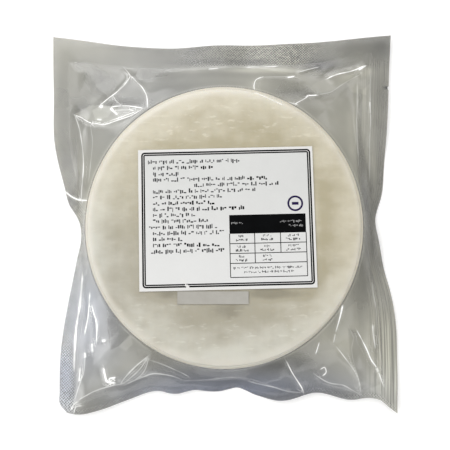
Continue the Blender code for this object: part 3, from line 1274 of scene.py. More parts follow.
@dataclass(frozen=True)
class TextLine:
    """A line of dashes that stands for a line of small print, in millimetres on the label."""

    start: float
    end: float
    bold_from: float = math.inf


@dataclass(frozen=True)
class Bar:
    """An upright rectangle on the label, in millimetres, from its lower left corner."""

    x: float
    y: float
    width: float
    height: float


@dataclass
class PaperLabel:
    """The printed paper label on the front film."""

    paper: Material
    panel: Material
    ink: Material
    grey_ink: Material
    mark_ink: Material
    white_ink: Material
    width: float = 138.0
    height: float = 111.5
    turn: float = math.radians(1.35)
    centre: Point = (1.9, 4.9)
    underside: float = 18.3
    thickness: float = 0.14
    wave: float = 0.10
    ink_depth: float = 0.02
    frame_centre: Point = (0.35, 0.15)
    frame_half: Point = (66.9, 53.5)
    frame_lines: tuple[float, float, float] = (1.25, 0.45, 1.05)  # outer line, gap, inner line
    frame_corner: float = 2.8
    first_line_y: float = 45.6
    line_pitch: float = 4.71
    text_height: float = 3.45
    cell_text_height: float = 2.05
    header_text_height: float = 2.1
    lines: tuple[TextLine, ...] = (
        TextLine(-61.2, 11.5),
        TextLine(-57.3, -9.9, -20.0),
        TextLine(-57.3, -36.0),
        TextLine(-57.4, 34.0, 4.0),
        TextLine(-25.0, 42.5, 22.0),
        TextLine(-57.5, 24.3),
        TextLine(-57.6, -2.6),
        TextLine(-57.6, -8.2, -45.0),
        TextLine(-57.7, 16.8, -14.0),
        TextLine(-57.7, -24.1),
        TextLine(-57.8, -12.4),
        TextLine(-61.0, -6.3),
        TextLine(-58.0, -1.7),
        TextLine(-58.0, -34.5),
        TextLine(-58.0, -5.8, -41.0),
        TextLine(-59.6, -1.2, -12.0),
    )
    table: Bar = Bar(1.9, -46.5, 59.8, 48.8)
    header_height: float = 14.8
    row_tops: tuple[float, ...] = (-12.0, -20.2, -27.9, -35.6)
    columns: tuple[float, ...] = (21.4, 41.6)
    rule_width: float = 0.62
    cell_lines: tuple = ((2.4, 4.4, False), (5.4, 6.0, True))  # drop from the cell's top, half length, bold
    foot_lines: tuple = ((-39.3, 4.2, 59.2), (-42.5, 12.6, 51.0))  # height, start, end
    header_lines: tuple = ((-4.1, 3.4, 13.4), (-3.6, 41.5, 60.2), (-7.0, 48.4, 60.2))
    mark_centre: Point = (54.0, 10.4)
    mark_radius: float = 6.2
    mark_line: float = 1.5
    mark_bar: Point = (5.2, 2.2)
    table_above: float = 0.025  # how far each kind of print stands off the paper
    line_above: float = 0.03
    dash_above: float = 0.05
    kink: tuple[Point, Point] = ((-36.0, -47.0), (-30.0, -55.0))  # a small crease at the lower edge
    kink_height: float = 0.30
    kink_reach: float = 0.9
    seed: int = 23

    def surface(self, x: Array, y: Array) -> Array:
        """Work out how high the paper's face stands, all in millimetres.

        Args:
            x: Places along the label's width.
            y: Places along its height.

        Returns:
            The height at each place.
        """
        wave = self.wave * (1 + soft_noise(x, y, 34, 71)) / 2
        wave += 0.05 * (1 + soft_noise(x, y, 12, 72)) / 2
        away, share = distance_to_path(x, y, self.kink)
        kink = self.kink_height * np.clip(1 - away / self.kink_reach, 0, 1) * np.clip(share * 4 + 0.2, 0, 1)
        return self.underside + self.thickness + wave + kink

    def to_frame(self, x: Array, y: Array, z: Array) -> Array:
        """Turn and shift places on the label into the pack's frame, in metres."""
        c, s = math.cos(self.turn), math.sin(self.turn)
        return np.stack([self.centre[0] + x * c - y * s, self.centre[1] + x * s + y * c, z], 1) * MM

    def lay_on_label(self, piece: Piece, above: float) -> None:
        """Drape a flat mesh, modelled in label millimetres, over the label's face.

        Args:
            piece: The mesh, whose own heights are kept as height above the face.
            above: How far it stands off the face.
        """
        flat = vertex_array(piece)
        z = self.surface(flat[:, 0], flat[:, 1]) + flat[:, 2] + above
        set_vertex_array(piece, self.to_frame(flat[:, 0], flat[:, 1], z))

    def build_paper(self) -> Piece:
        """Make the sheet of paper, gently wavy over the film.

        Returns:
            The dressed sheet.
        """
        sheet = add_grid("paper_label", 138, 112)
        flat = vertex_array(sheet)
        flat *= (self.width, self.height, 0)
        set_vertex_array(sheet, flat)
        self.lay_on_label(sheet, 0)
        thicken(sheet, self.thickness * MM)
        sheet.data.shade_smooth()
        sheet.data.set_sharp_from_angle(angle=math.radians(40))
        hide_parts("label")
        return dress(sheet, self.paper)

    def model_dash(self) -> Piece:
        """Model one short dash of print, a thin slab with its lower left corner at the origin.

        Returns:
            The dash.
        """
        deselect_all()
        bpy.ops.mesh.primitive_plane_add(size=1, location=(0.5, 0.5, 0))
        dash = bpy.context.object
        apply_place(dash)
        thicken(dash, self.ink_depth, 1)
        return dash

    def print_dashes(self, name: str, bars: Sequence[Bar], ink: Material) -> Piece:
        """Print short dashes, each a copy of one dash.

        Args:
            name: The piece's name.
            bars: Where the dashes are.
            ink: The ink's finish.

        Returns:
            The print.
        """
        pattern = self.model_dash()
        unit = vertex_array(pattern)
        dashes = []
        for bar in bars:
            dash = copy_piece(pattern)
            set_vertex_array(dash, unit * (bar.width, bar.height, 1) + (bar.x, bar.y, 0))
            dashes.append(dash)
        bpy.data.objects.remove(pattern)
        piece = join_pieces(dashes, name)
        self.lay_on_label(piece, self.dash_above)
        return dress(piece, ink)

    def print_fields(self, name: str, bars: Sequence[Bar], ink: Material, above: float) -> Piece:
        """Print larger rectangles and rules, each cut finely enough to follow the paper.

        Args:
            name: The piece's name.
            bars: The rectangles.
            ink: The ink's finish.
            above: How far the ink stands off the paper, in millimetres.

        Returns:
            The print.
        """
        fields = []
        for bar in bars:
            sheet = add_grid(name, max(1, round(bar.width / 3)), max(1, round(bar.height / 3)))
            middle = (bar.x + bar.width / 2, bar.y + bar.height / 2, 0)
            set_vertex_array(sheet, vertex_array(sheet) * (bar.width, bar.height, 0) + middle)
            thicken(sheet, self.ink_depth, 1)
            fields.append(sheet)
        piece = join_pieces(fields, name)
        self.lay_on_label(piece, above)
        return dress(piece, ink)

    def dashes(
        self, line: TextLine, y: float, tall: float, random: np.random.RandomState
    ) -> tuple[list[Bar], list[Bar]]:
        """Split a line of print into dashes, its plain and its bold ones.

        Args:
            line: Where it runs.
            y: The height of its middle.
            tall: How tall its dashes are.
            random: What their lengths are drawn from.

        Returns:
            The plain dashes and the bold ones.
        """
        plain, bold = [], []
        x = line.start
        word = random.randint(2, 7)
        while x < line.end - 0.4 * tall:
            heavy = x >= line.bold_from
            weight = tall * (1.3 if heavy else 1.0)
            if random.rand() < 0.35:
                width, height = random.uniform(0.30, 0.60) * tall, random.uniform(0.18, 0.32) * weight
                shift = random.uniform(-0.36, 0.36) * tall
            else:
                width, height = random.uniform(0.14, 0.36) * weight, random.uniform(0.45, 1.0) * tall
                shift = random.uniform(-0.14, 0.14) * tall
            width = min(width, line.end - x)
            (bold if heavy else plain).append(Bar(x, y - height / 2 + shift, width, height))
            word -= 1
            x += width + 0.13 * tall
            if word == 0:
                word = random.randint(2, 7)
                x += 0.45 * tall
        return plain, bold

    def build_text(self) -> list[Piece]:
        """Print the small print of the left side and of the table, as dashes.

        Returns:
            The grey, the black and the white print.
        """
        random = np.random.RandomState(self.seed)
        plain, bold = [], []
        for index, line in enumerate(self.lines):
            y = self.first_line_y - index * self.line_pitch
            a, b = self.dashes(line, y, self.text_height, random)
            plain += a
            bold += b
        stops = (self.table.x, *self.columns, self.table.x + self.table.width)
        for row, top in enumerate(self.row_tops[:3]):
            for column in range(3 if row < 2 else 2):
                middle = (stops[column] + stops[column + 1]) / 2
                for drop, half, heavy in self.cell_lines:
                    reach = half * random.uniform(0.6, 1.0)
                    line = TextLine(middle - reach, middle + reach, -math.inf if heavy else math.inf)
                    a, b = self.dashes(line, top - drop, self.cell_text_height, random)
                    plain += a
                    bold += b
        for y, start, end in self.foot_lines:
            plain += self.dashes(TextLine(start, end), y, self.cell_text_height, random)[0]
        header = []
        for y, start, end in self.header_lines:
            header += self.dashes(TextLine(start, end), y, self.header_text_height, random)[0]
        return [
            self.print_dashes("label_text_dashes", plain, self.grey_ink),
            self.print_dashes("label_bold_dashes", bold, self.ink),
            self.print_dashes("table_header_dashes", header, self.white_ink),
        ]

    def build_table(self) -> Piece:
        """Print the table: its dark header and its thin rules.

        Returns:
            The print.
        """
        t, rule = self.table, self.rule_width
        top = t.y + t.height
        bars = [Bar(t.x, top - self.header_height, t.width, self.header_height)]
        bars += [Bar(t.x, y - rule / 2, t.width, rule) for y in (*self.row_tops[1:], t.y)]
        body = top - self.header_height - t.y
        bars += [Bar(x - rule / 2, t.y, rule, body) for x in (t.x, t.x + t.width)]
        first, second, third = self.row_tops[0], self.row_tops[2], self.row_tops[3]
        bars.append(Bar(self.columns[0] - rule / 2, third, rule, first - third))
        bars.append(Bar(self.columns[1] - rule / 2, second, rule, first - second))
        return self.print_fields("nutrition_table", bars, self.ink, self.table_above)

    def build_panel(self) -> Piece:
        """Print the pale ground inside the frame.

        Returns:
            The print.
        """
        inset = sum(self.frame_lines) - 0.2
        half_x, half_y = self.frame_half[0] - inset, self.frame_half[1] - inset
        left, low = self.frame_centre[0] - half_x, self.frame_centre[1] - half_y
        ground = Bar(left, low, 2 * half_x, 2 * half_y)
        return self.print_fields("label_ground", [ground], self.panel, 0.0)

    def rounded_line(self, inset: float, line: float, corner: float) -> Piece:
        """Model one rounded rectangular line of the frame.

        Args:
            inset: How far its outer side lies in from the frame's outer side.
            line: How wide the line is.
            corner: The radius of its outer corners.

        Returns:
            The line, draped on the label.
        """
        deselect_all()
        bpy.ops.mesh.primitive_plane_add(size=2)
        ring = bpy.context.object
        ring.scale = (self.frame_half[0] - inset, self.frame_half[1] - inset, 1)
        bpy.ops.object.transform_apply(location=False, rotation=False, scale=True)
        with edit_mode(ring):
            bpy.ops.mesh.select_all(action="SELECT")
            bpy.ops.mesh.bevel(offset=corner, segments=6, affect="VERTICES")
            bpy.ops.mesh.inset(thickness=line, depth=0)
            bpy.ops.mesh.delete(type="FACE")
        with edit_mode(ring) as mesh:
            for edge in mesh.edges:
                if edge.calc_length() > 20:
                    edge.select_set(True)
            bpy.ops.mesh.subdivide(number_cuts=29)
        set_vertex_array(ring, vertex_array(ring) + (*self.frame_centre, 0))
        thicken(ring, self.ink_depth, 1)
        self.lay_on_label(ring, self.line_above)
        return ring

    def build_frame(self) -> Piece:
        """Print the double line round the label.

        Returns:
            The print.
        """
        outer_line, gap, inner_line = self.frame_lines
        outer = self.rounded_line(0, outer_line, self.frame_corner)
        inner = self.rounded_line(outer_line + gap, inner_line, self.frame_corner - outer_line - gap / 2)
        return dress(join_pieces([outer, inner], "label_frame"), self.ink)

    def build_mark(self) -> Piece:
        """Print a plain generic mark, a ring round a short bar.

        Returns:
            The print.
        """
        deselect_all()
        bpy.ops.mesh.primitive_circle_add(vertices=48, radius=self.mark_radius, fill_type="NGON")
        ring = bpy.context.object
        with edit_mode(ring):
            bpy.ops.mesh.select_all(action="SELECT")
            bpy.ops.mesh.inset(thickness=self.mark_line, depth=0)
            bpy.ops.mesh.delete(type="FACE")
        deselect_all()
        bpy.ops.mesh.primitive_plane_add(size=1)
        bar = bpy.context.object
        bar.scale = (*self.mark_bar, 1)
        apply_place(bar)
        mark = join_pieces([ring, bar], "label_mark")
        set_vertex_array(mark, vertex_array(mark) + (*self.mark_centre, 0))
        thicken(mark, self.ink_depth, 1)
        self.lay_on_label(mark, self.line_above)
        return dress(mark, self.mark_ink)

    def build(self) -> list[Piece]:
        """Make the label with all its print.

        Returns:
            The pieces.
        """
        ground = [self.build_paper(), self.build_panel(), self.build_frame(), self.build_table()]
        return [*ground, *self.build_text(), self.build_mark()]


@dataclass
class DateSticker:
    """The plain grey sticker below the label."""

    paper: Material
    width: float = 0.0550
    height: float = 0.0098
    centre: Point = (-0.0088, -0.0571)
    underside: float = 0.0183
    thickness: float = 0.00012

    def build(self) -> Piece:
        """Make the sticker, slightly wavy over the film.

        Returns:
            The sticker.
        """
        sheet = add_grid("plain_date_sticker", 44, 8)
        flat = vertex_array(sheet)
        x = self.centre[0] + flat[:, 0] * self.width
        y = self.centre[1] + flat[:, 1] * self.height
        wave = 0.00006 * (1 + soft_noise(x / MM, y / MM, 9, 91))
        set_vertex_array(sheet, np.stack([x, y, self.underside + self.thickness + wave], 1))
        thicken(sheet, self.thickness)
        sheet.data.shade_smooth()
        sheet.data.set_sharp_from_angle(angle=math.radians(40))
        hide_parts("date_sticker")
        return dress(sheet, self.paper)


# ---------------- finishes


class NodeBuilder:
    """Adds and links the nodes of one material or group."""

    def __init__(self, tree: bpy.types.NodeTree) -> None:
        """Keep the tree that nodes are added to."""
        self.tree = tree

    def add(self, kind: str, **settings: object) -> bpy.types.Node:
        """Add a node and set its properties.

        Args:
            kind: The node's type.
            **settings: Properties of the node by name.

        Returns:
            The node.
        """
        node = self.tree.nodes.new(kind)
        for key, value in settings.items():
            setattr(node, key, value)
        return node

    def feed(self, socket: Socket, value: object) -> None:
        """Link a socket to another node's output, or set it to a plain value.

        Args:
            socket: The input.
            value: The output or the plain value.
        """
        if isinstance(value, Socket):
            self.tree.links.new(value, socket)
        elif value is not None:
            socket.default_value = value

    def math(self, operation: str, a: object, b: object = None, clamp: bool = False) -> Socket:
        """Combine one or two values.

        Args:
            operation: The Math node's operation.
            a: The first value or socket.
            b: The second value or socket, where the operation has one.
            clamp: Whether the result is kept from 0 to 1.

        Returns:
            The result.
        """
        node = self.add("ShaderNodeMath", operation=operation, use_clamp=clamp)
        self.feed(node.inputs[0], a)
        self.feed(node.inputs[1], b)
        return node.outputs[0]

    def times(self, a: object, b: object, clamp: bool = False) -> Socket:
        """Multiply two values."""
        return self.math("MULTIPLY", a, b, clamp)

    def plus(self, a: object, b: object, clamp: bool = False) -> Socket:
        """Add two values."""
        return self.math("ADD", a, b, clamp)

    def minus(self, a: object, b: object) -> Socket:
        """Take the second value from the first."""
        return self.math("SUBTRACT", a, b)

    def ramp(self, value: object, low: float, high: float, to_low: float = 0, to_high: float = 1) -> Socket:
        """Map a value smoothly from one range to another, held at both ends.

        Args:
            value: The value to map.
            low: Where the first range starts.
            high: Where it ends.
            to_low: What its start becomes.
            to_high: What its end becomes.

        Returns:
            The mapped value.
        """
        node = self.add("ShaderNodeMapRange", interpolation_type="SMOOTHSTEP")
        for socket, number in zip(node.inputs, (value, low, high, to_low, to_high)):
            self.feed(socket, number)
        return node.outputs["Result"]

    def mix(self, share: object, a: object, b: object) -> Socket:
        """Mix two colours.

        Args:
            share: How much of the second there is, from 0 to 1.
            a: The first colour.
            b: The second colour.

        Returns:
            The mixed colour.
        """
        node = self.add("ShaderNodeMix", data_type="RGBA")
        self.feed(node.inputs["Factor"], share)
        self.feed(node.inputs[6], self.colour(a))
        self.feed(node.inputs[7], self.colour(b))
        return node.outputs[2]

    @staticmethod
    def colour(value: object) -> object:
        """Give a plain colour its alpha, and pass a socket on."""
        return (*value, 1.0) if isinstance(value, tuple) and len(value) == 3 else value

    def noise(self, vector: object, scale: object, detail: float = 3, roughness: float = 0.5) -> Socket:
        """Add noise.

        Args:
            vector: The coordinates that it reads.
            scale: Its waves a metre.
            detail: How many finer layers it has.
            roughness: How strong those layers are.

        Returns:
            Its value.
        """
        node = self.add("ShaderNodeTexNoise")
        self.feed(node.inputs["Vector"], vector)
        self.feed(node.inputs["Scale"], scale)
        self.feed(node.inputs["Detail"], detail)
        self.feed(node.inputs["Roughness"], roughness)
        return node.outputs["Fac"]

    def split(self, vector: Socket) -> tuple[Socket, Socket]:
        """Take a vector apart.

        Args:
            vector: The vector.

        Returns:
            Its X and its Y.
        """
        node = self.add("ShaderNodeSeparateXYZ")
        self.feed(node.inputs[0], vector)
        return node.outputs[0], node.outputs[1]

    def mapped(self, vector: Socket, scale: tuple, turn: float = 0.0) -> Socket:
        """Scale coordinates and turn them about Z.

        Args:
            vector: The coordinates.
            scale: The scale along each axis.
            turn: The turn in radians.

        Returns:
            The new coordinates.
        """
        node = self.add("ShaderNodeMapping")
        self.feed(node.inputs["Vector"], vector)
        node.inputs["Rotation"].default_value = (0, 0, turn)
        node.inputs["Scale"].default_value = scale
        return node.outputs[0]

    def bump(self, height: Socket, strength: float, distance: float) -> Socket:
        """Turn a relief into surface directions.

        Args:
            height: The relief.
            strength: How much of it shows.
            distance: How high a relief of 1 is, in metres.

        Returns:
            The directions.
        """
        node = self.add("ShaderNodeBump")
        node.inputs["Strength"].default_value = strength
        node.inputs["Distance"].default_value = distance
        self.feed(node.inputs["Height"], height)
        return node.outputs["Normal"]

    def value(self, name: str) -> Socket:
        """Read a number stored on the mesh's vertices."""
        return self.add("ShaderNodeAttribute", attribute_name=name).outputs["Fac"]


def new_material(name: str) -> tuple[Material, NodeBuilder, bpy.types.Node, bpy.types.Node]:
    """Start a material.

    Args:
        name: The finish's name.

    Returns:
        The material, its node builder, its shader and its texture coordinates.
    """
    material = bpy.data.materials.new(name)
    material.use_nodes = True
    nodes = NodeBuilder(material.node_tree)
    return material, nodes, material.node_tree.nodes["Principled BSDF"], nodes.add("ShaderNodeTexCoord")


def fine_grain_group() -> bpy.types.NodeTree:
    """Make the group that gives paper and ink their fine grain.

    Returns:
        A group with inputs Vector, Scale and Amount, and outputs Value and Height.
    """
    group = bpy.data.node_groups.new("fine_grain", "ShaderNodeTree")
    group.interface.new_socket("Vector", in_out="INPUT", socket_type="NodeSocketVector")
    for name, way in (("Scale", "INPUT"), ("Amount", "INPUT"), ("Value", "OUTPUT"), ("Height", "OUTPUT")):
        group.interface.new_socket(name, in_out=way, socket_type="NodeSocketFloat")
    nodes = NodeBuilder(group)
    inputs, outputs = nodes.add("NodeGroupInput"), nodes.add("NodeGroupOutput")
    coarse = nodes.noise(inputs.outputs["Vector"], inputs.outputs["Scale"], 4)
    finer = nodes.noise(inputs.outputs["Vector"], nodes.times(inputs.outputs["Scale"], 5.0), 3)
    both = nodes.plus(nodes.times(coarse, 0.6), nodes.times(finer, 0.4))
    centred = nodes.minus(both, 0.5)
    value = nodes.plus(nodes.times(centred, inputs.outputs["Amount"]), 1.0)
    nodes.feed(outputs.inputs["Value"], value)
    nodes.feed(outputs.inputs["Height"], both)
    return group


def add_grain(
    nodes: NodeBuilder, group: bpy.types.NodeTree, vector: Socket, scale: float, amount: float
) -> bpy.types.Node:
    """Place the grain group in a material.

    Args:
        nodes: The material's node builder.
        group: The grain group.
        vector: The coordinates that it reads.
        scale: Its waves a metre.
        amount: How strongly its value varies about 1.

    Returns:
        The group's node.
    """
    node = nodes.add("ShaderNodeGroup", node_tree=group)
    nodes.feed(node.inputs["Vector"], vector)
    nodes.feed(node.inputs["Scale"], scale)
    nodes.feed(node.inputs["Amount"], amount)
    return node


@dataclass(frozen=True)
class ClearFilmFinish:
    """Clear glossy film: thin over the stack, hazier in the skirt, stippled and ribbed in its seals, with
    painted light and shade and painted highlights along its folds.
    """

    warm: Colour = (1.03, 1.01, 0.835)
    cool: Colour = (0.84, 0.965, 1.36)
    # the colour of the painted highlights along the folds
    bright: Colour = (0.92, 0.92, 0.90)
    skirt_alpha: float = 0.60
    stack_alpha: float = 0.07
    roughness: float = 0.15
    dot_pitch: float = 0.00225
    dot_turn: float = math.radians(3)
    dot_light: float = 1.9
    dot_relief: float = 0.35
    rib_scale: tuple = (340, 4, 1)  # fine across the side seals and long along them
    # how strongly the painted highlights glow
    glow: float = 0.25

    def seal_bands(self, nodes: NodeBuilder, uv: Socket, seals: SealWidths) -> dict:
        """Find each seal from the film's own layout.

        Args:
            nodes: The material's node builder.
            uv: The film's UV map.
            seals: The seals' widths.

        Returns:
            A mask for each seal, with "u" and "v" too.
        """
        u, v = nodes.split(uv)
        soft = 0.004
        v_top = nodes.minus(v, nodes.ramp(u, *seals.narrows, 0, seals.top_narrowing))
        return {
            "u": u,
            "v": v,
            "left": nodes.ramp(u, seals.left, seals.left + soft, 1, 0),
            "right": nodes.ramp(u, 1 - seals.right - soft, 1 - seals.right, 0, 1),
            "top": nodes.ramp(v_top, 1 - seals.top - soft, 1 - seals.top, 0, 1),
            "bottom": nodes.ramp(v, seals.bottom, seals.bottom + soft, 1, 0),
        }

    def seal_pattern(
        self, nodes: NodeBuilder, place: Socket, uv: Socket, bands: dict
    ) -> tuple[Socket, Socket]:
        """Lay the stipple and the ribs of the seals.

        Args:
            nodes: The material's node builder.
            place: Object coordinates.
            uv: The film's UV map.
            bands: The seals' masks.

        Returns:
            How light the pattern is about 1, and its relief.
        """
        # A lattice of dots, uneven in size, on the top seal's right half, most of the left seal and the foot
        lattice = nodes.mapped(place, (2 * math.pi / self.dot_pitch,) * 3, self.dot_turn)
        rows, columns = (nodes.math("SINE", axis) for axis in nodes.split(lattice))
        uneven = nodes.times(nodes.minus(nodes.noise(place, 600, 1), 0.5), 2.2)
        dots = nodes.ramp(nodes.plus(nodes.times(rows, columns), uneven), -0.8, 0.9)
        where = nodes.ramp(nodes.noise(place, 30, 2), 0.30, 0.60)
        x, _ = nodes.split(place)
        top = nodes.times(bands["top"], nodes.ramp(x, -0.060, 0.045, 0.06, 1.0))
        top = nodes.times(top, nodes.ramp(x, 0.072, 0.084, 1.0, 0.12))
        high = nodes.ramp(bands["v"], 0.795, 0.815, 0.0, 0.5)
        high = nodes.times(high, nodes.ramp(bands["v"], 0.86, 0.875, 1.0, 0.0))
        left = nodes.math("MAXIMUM", nodes.ramp(bands["v"], 0.735, 0.765, 1.0, 0.04), high)
        left = nodes.times(bands["left"], left)
        foot = nodes.times(bands["bottom"], 0.6)
        stipple = nodes.math("MAXIMUM", nodes.math("MAXIMUM", top, left), foot)
        stipple = nodes.times(stipple, nodes.plus(nodes.times(where, 0.5), 0.5))
        # Ribs along the right seal, strongest at its lower end
        ribs = nodes.ramp(nodes.noise(nodes.mapped(uv, self.rib_scale), 1.0, 2), 0.36, 0.64)
        low = nodes.ramp(bands["v"], 0.10, 0.62, 1.0, 0.3)
        ribbed = nodes.times(nodes.ramp(bands["u"], 0.88, 0.955), low)
        dot, rib = nodes.minus(dots, 0.5), nodes.times(nodes.minus(ribs, 0.5), ribbed)
        light = nodes.times(dot, nodes.times(stipple, self.dot_light))
        light = nodes.plus(nodes.plus(light, rib), 1.0)
        relief = nodes.times(dot, nodes.times(stipple, self.dot_relief))
        return light, nodes.plus(relief, rib)

    def build(self, seals: SealWidths) -> Material:
        """Make the material.

        Args:
            seals: The seals' widths.

        Returns:
            The material.
        """
        material, nodes, shader, coordinates = new_material("clear_pouch_film")
        place, uv = coordinates.outputs["Object"], coordinates.outputs["UV"]
        bands = self.seal_bands(nodes, uv, seals)
        sides = nodes.math("MAXIMUM", bands["left"], bands["right"])
        seal = nodes.math("MAXIMUM", sides, nodes.math("MAXIMUM", bands["top"], bands["bottom"]))
        pattern, relief = self.seal_pattern(nodes, place, uv, bands)
        # Painted highlights: a bright line on each fold's crest and a faint painted sheen beside it, which
        # glow and make the film more opaque
        on_stack, fold_painted_glint = nodes.value("on_stack"), nodes.value("fold_painted_glint")
        away = nodes.math("ABSOLUTE", nodes.value("fold_offset"))
        crest = nodes.ramp(away, 0.1, 1.0, 1, 0)
        glow = nodes.ramp(away, 0.0, 3.5, 0.13, 0)
        line = nodes.times(nodes.math("MAXIMUM", crest, glow), fold_painted_glint, clamp=True)

        # The film's painted light and shade, in a tint from warm to cool
        light = nodes.times(nodes.value("film_painted_light"), pattern)
        tint = nodes.mix(nodes.value("film_cool"), self.warm, self.cool)
        scaled = nodes.add("ShaderNodeVectorMath", operation="SCALE")
        nodes.feed(scaled.inputs[0], tint)
        nodes.feed(scaled.inputs["Scale"], light)
        nodes.feed(shader.inputs["Base Color"], nodes.mix(line, scaled.outputs[0], self.bright))
        nodes.feed(shader.inputs["Emission Color"], nodes.mix(line, (0.0, 0.0, 0.0), (1.0, 1.0, 1.0)))
        shader.inputs["Emission Strength"].default_value = self.glow

        alpha = nodes.ramp(on_stack, 0, 1, self.skirt_alpha, self.stack_alpha)
        alpha = nodes.plus(alpha, nodes.times(line, 0.4), clamp=True)
        nodes.feed(shader.inputs["Alpha"], alpha)

        cloud = nodes.noise(place, 30, 3)
        rough = nodes.plus(nodes.times(seal, 0.2), self.roughness)
        rough = nodes.plus(rough, nodes.times(cloud, 0.05))
        nodes.feed(shader.inputs["Roughness"], rough)
        nodes.feed(shader.inputs["Coat Weight"], nodes.ramp(on_stack, 0, 1, 0.5, 0.3))
        shader.inputs["Specular IOR Level"].default_value = 0.8
        shader.inputs["Coat Roughness"].default_value = 0.10

        ripple = nodes.times(nodes.noise(place, 150, 3), 0.5)
        ripple = nodes.times(ripple, nodes.ramp(on_stack, 0, 1, 1.0, 0.35))
        height = nodes.plus(nodes.plus(relief, ripple), nodes.times(line, 0.8))
        nodes.feed(shader.inputs["Normal"], nodes.bump(height, 0.5, 0.0005))
        return material


@dataclass(frozen=True)
class RicePaperFinish:
    """Dried rice paper: translucent cream, cloudy, with the faint threads of its drying mat, painted glints
    and painted light at its rim.
    """

    light: Colour = (0.70, 0.655, 0.53)
    deep: Colour = (0.455, 0.405, 0.275)
    light_grey: Colour = (0.66, 0.655, 0.59)
    deep_grey: Colour = (0.42, 0.395, 0.325)
    rim: Colour = (0.80, 0.765, 0.69)
    rim_radius: float = 0.104
    shadow: Colour = (0.17, 0.155, 0.11)

    @staticmethod
    def threads(nodes: NodeBuilder, place: Socket, scale: Colour) -> Socket:
        """Add noise drawn out along one direction of the mat."""
        return nodes.noise(nodes.mapped(place, scale), 1.0, 3, 0.55)

    @staticmethod
    def radius(nodes: NodeBuilder, place: Socket) -> Socket:
        """Measure the distance from the stack's axis.

        Args:
            nodes: The material's node builder.
            place: Object coordinates.

        Returns:
            The distance.
        """
        flat = nodes.add("ShaderNodeVectorMath", operation="MULTIPLY")
        nodes.feed(flat.inputs[0], place)
        flat.inputs[1].default_value = (1, 1, 0)
        length = nodes.add("ShaderNodeVectorMath", operation="LENGTH")
        nodes.feed(length.inputs[0], flat.outputs[0])
        return length.outputs["Value"]

    def build(self) -> Material:
        """Make the material.

        Returns:
            The material.
        """
        material, nodes, shader, coordinates = new_material("rice_paper")
        place = coordinates.outputs["Object"]
        # How light the paper is: clouds, the way out from the middle, patches with painted shade among them,
        # and the mat's threads
        cloud = nodes.noise(place, 24, 3, 0.55)
        level, upright = self.threads(nodes, place, (46, 84, 1)), self.threads(nodes, place, (170, 26, 1))
        glint_flecks = nodes.ramp(self.threads(nodes, place, (85, 260, 1)), 0.57, 0.70)
        x, y = nodes.split(place)
        reach = self.radius(nodes, place)
        share = nodes.plus(cloud, nodes.ramp(reach, 0.078, 0.104, -0.20, 0.14))
        share = nodes.plus(share, nodes.value("paper_tone_and_shade"))
        share = nodes.plus(share, nodes.ramp(nodes.math("ABSOLUTE", x), 0.060, 0.095, 0.0, -0.10))
        for grain, strength in ((level, 0.55), (upright, 0.16)):
            share = nodes.plus(share, nodes.times(nodes.minus(grain, 0.5), strength))
        # Pale flecks near the top and the foot: painted glints of the film over the sheet
        glint_fleck_strength = nodes.ramp(nodes.math("ABSOLUTE", y), 0.050, 0.080, 0.05, 0.28)
        share = nodes.plus(share, nodes.times(glint_flecks, glint_fleck_strength))
        # The shadow that the label's lower edge throws on the sheet
        below = nodes.ramp(nodes.math("ABSOLUTE", nodes.plus(y, 0.054)), 0.0, 0.009, 0.32, 0.0)
        below = nodes.times(below, nodes.ramp(x, -0.060, 0.030, 0.3, 1.0))
        below = nodes.times(below, nodes.ramp(x, 0.066, 0.074, 1.0, 0.0))
        share = nodes.minus(share, below)
        tone = nodes.ramp(share, 0.06, 0.84)
        colour = nodes.mix(tone, self.deep, self.light)
        # Greyer towards the lower left, and darker still in the deepest shadows
        slant = nodes.plus(y, nodes.times(x, 0.5))
        grey = nodes.ramp(slant, -0.08, 0.05, 0.85, 0.0)
        colour = nodes.mix(grey, colour, nodes.mix(tone, self.deep_grey, self.light_grey))
        colour = nodes.mix(nodes.ramp(share, -0.4, 0.06, 0.5, 0.0), colour, self.shadow)
        # A paler rim, lighter towards the upper left: the rim's own paler edge, with painted light on its lit
        # side
        lit = nodes.ramp(nodes.minus(y, x), -0.04, 0.10, 0.5, 0.7)
        rim = nodes.ramp(reach, self.rim_radius - 0.003, self.rim_radius + 0.004, 0, 0.9)
        rim = nodes.times(rim, lit)
        nodes.feed(shader.inputs["Base Color"], nodes.mix(rim, colour, self.rim))
        nodes.feed(shader.inputs["Roughness"], nodes.ramp(cloud, 0.2, 0.8, 0.38, 0.55))
        shader.inputs["Subsurface Weight"].default_value = 0.2
        shader.inputs["Subsurface Radius"].default_value = (0.004, 0.003, 0.002)
        height = nodes.plus(nodes.noise(place, 420, 3), nodes.plus(level, upright))
        nodes.feed(shader.inputs["Normal"], nodes.bump(height, 0.3, 0.0004))
        return material


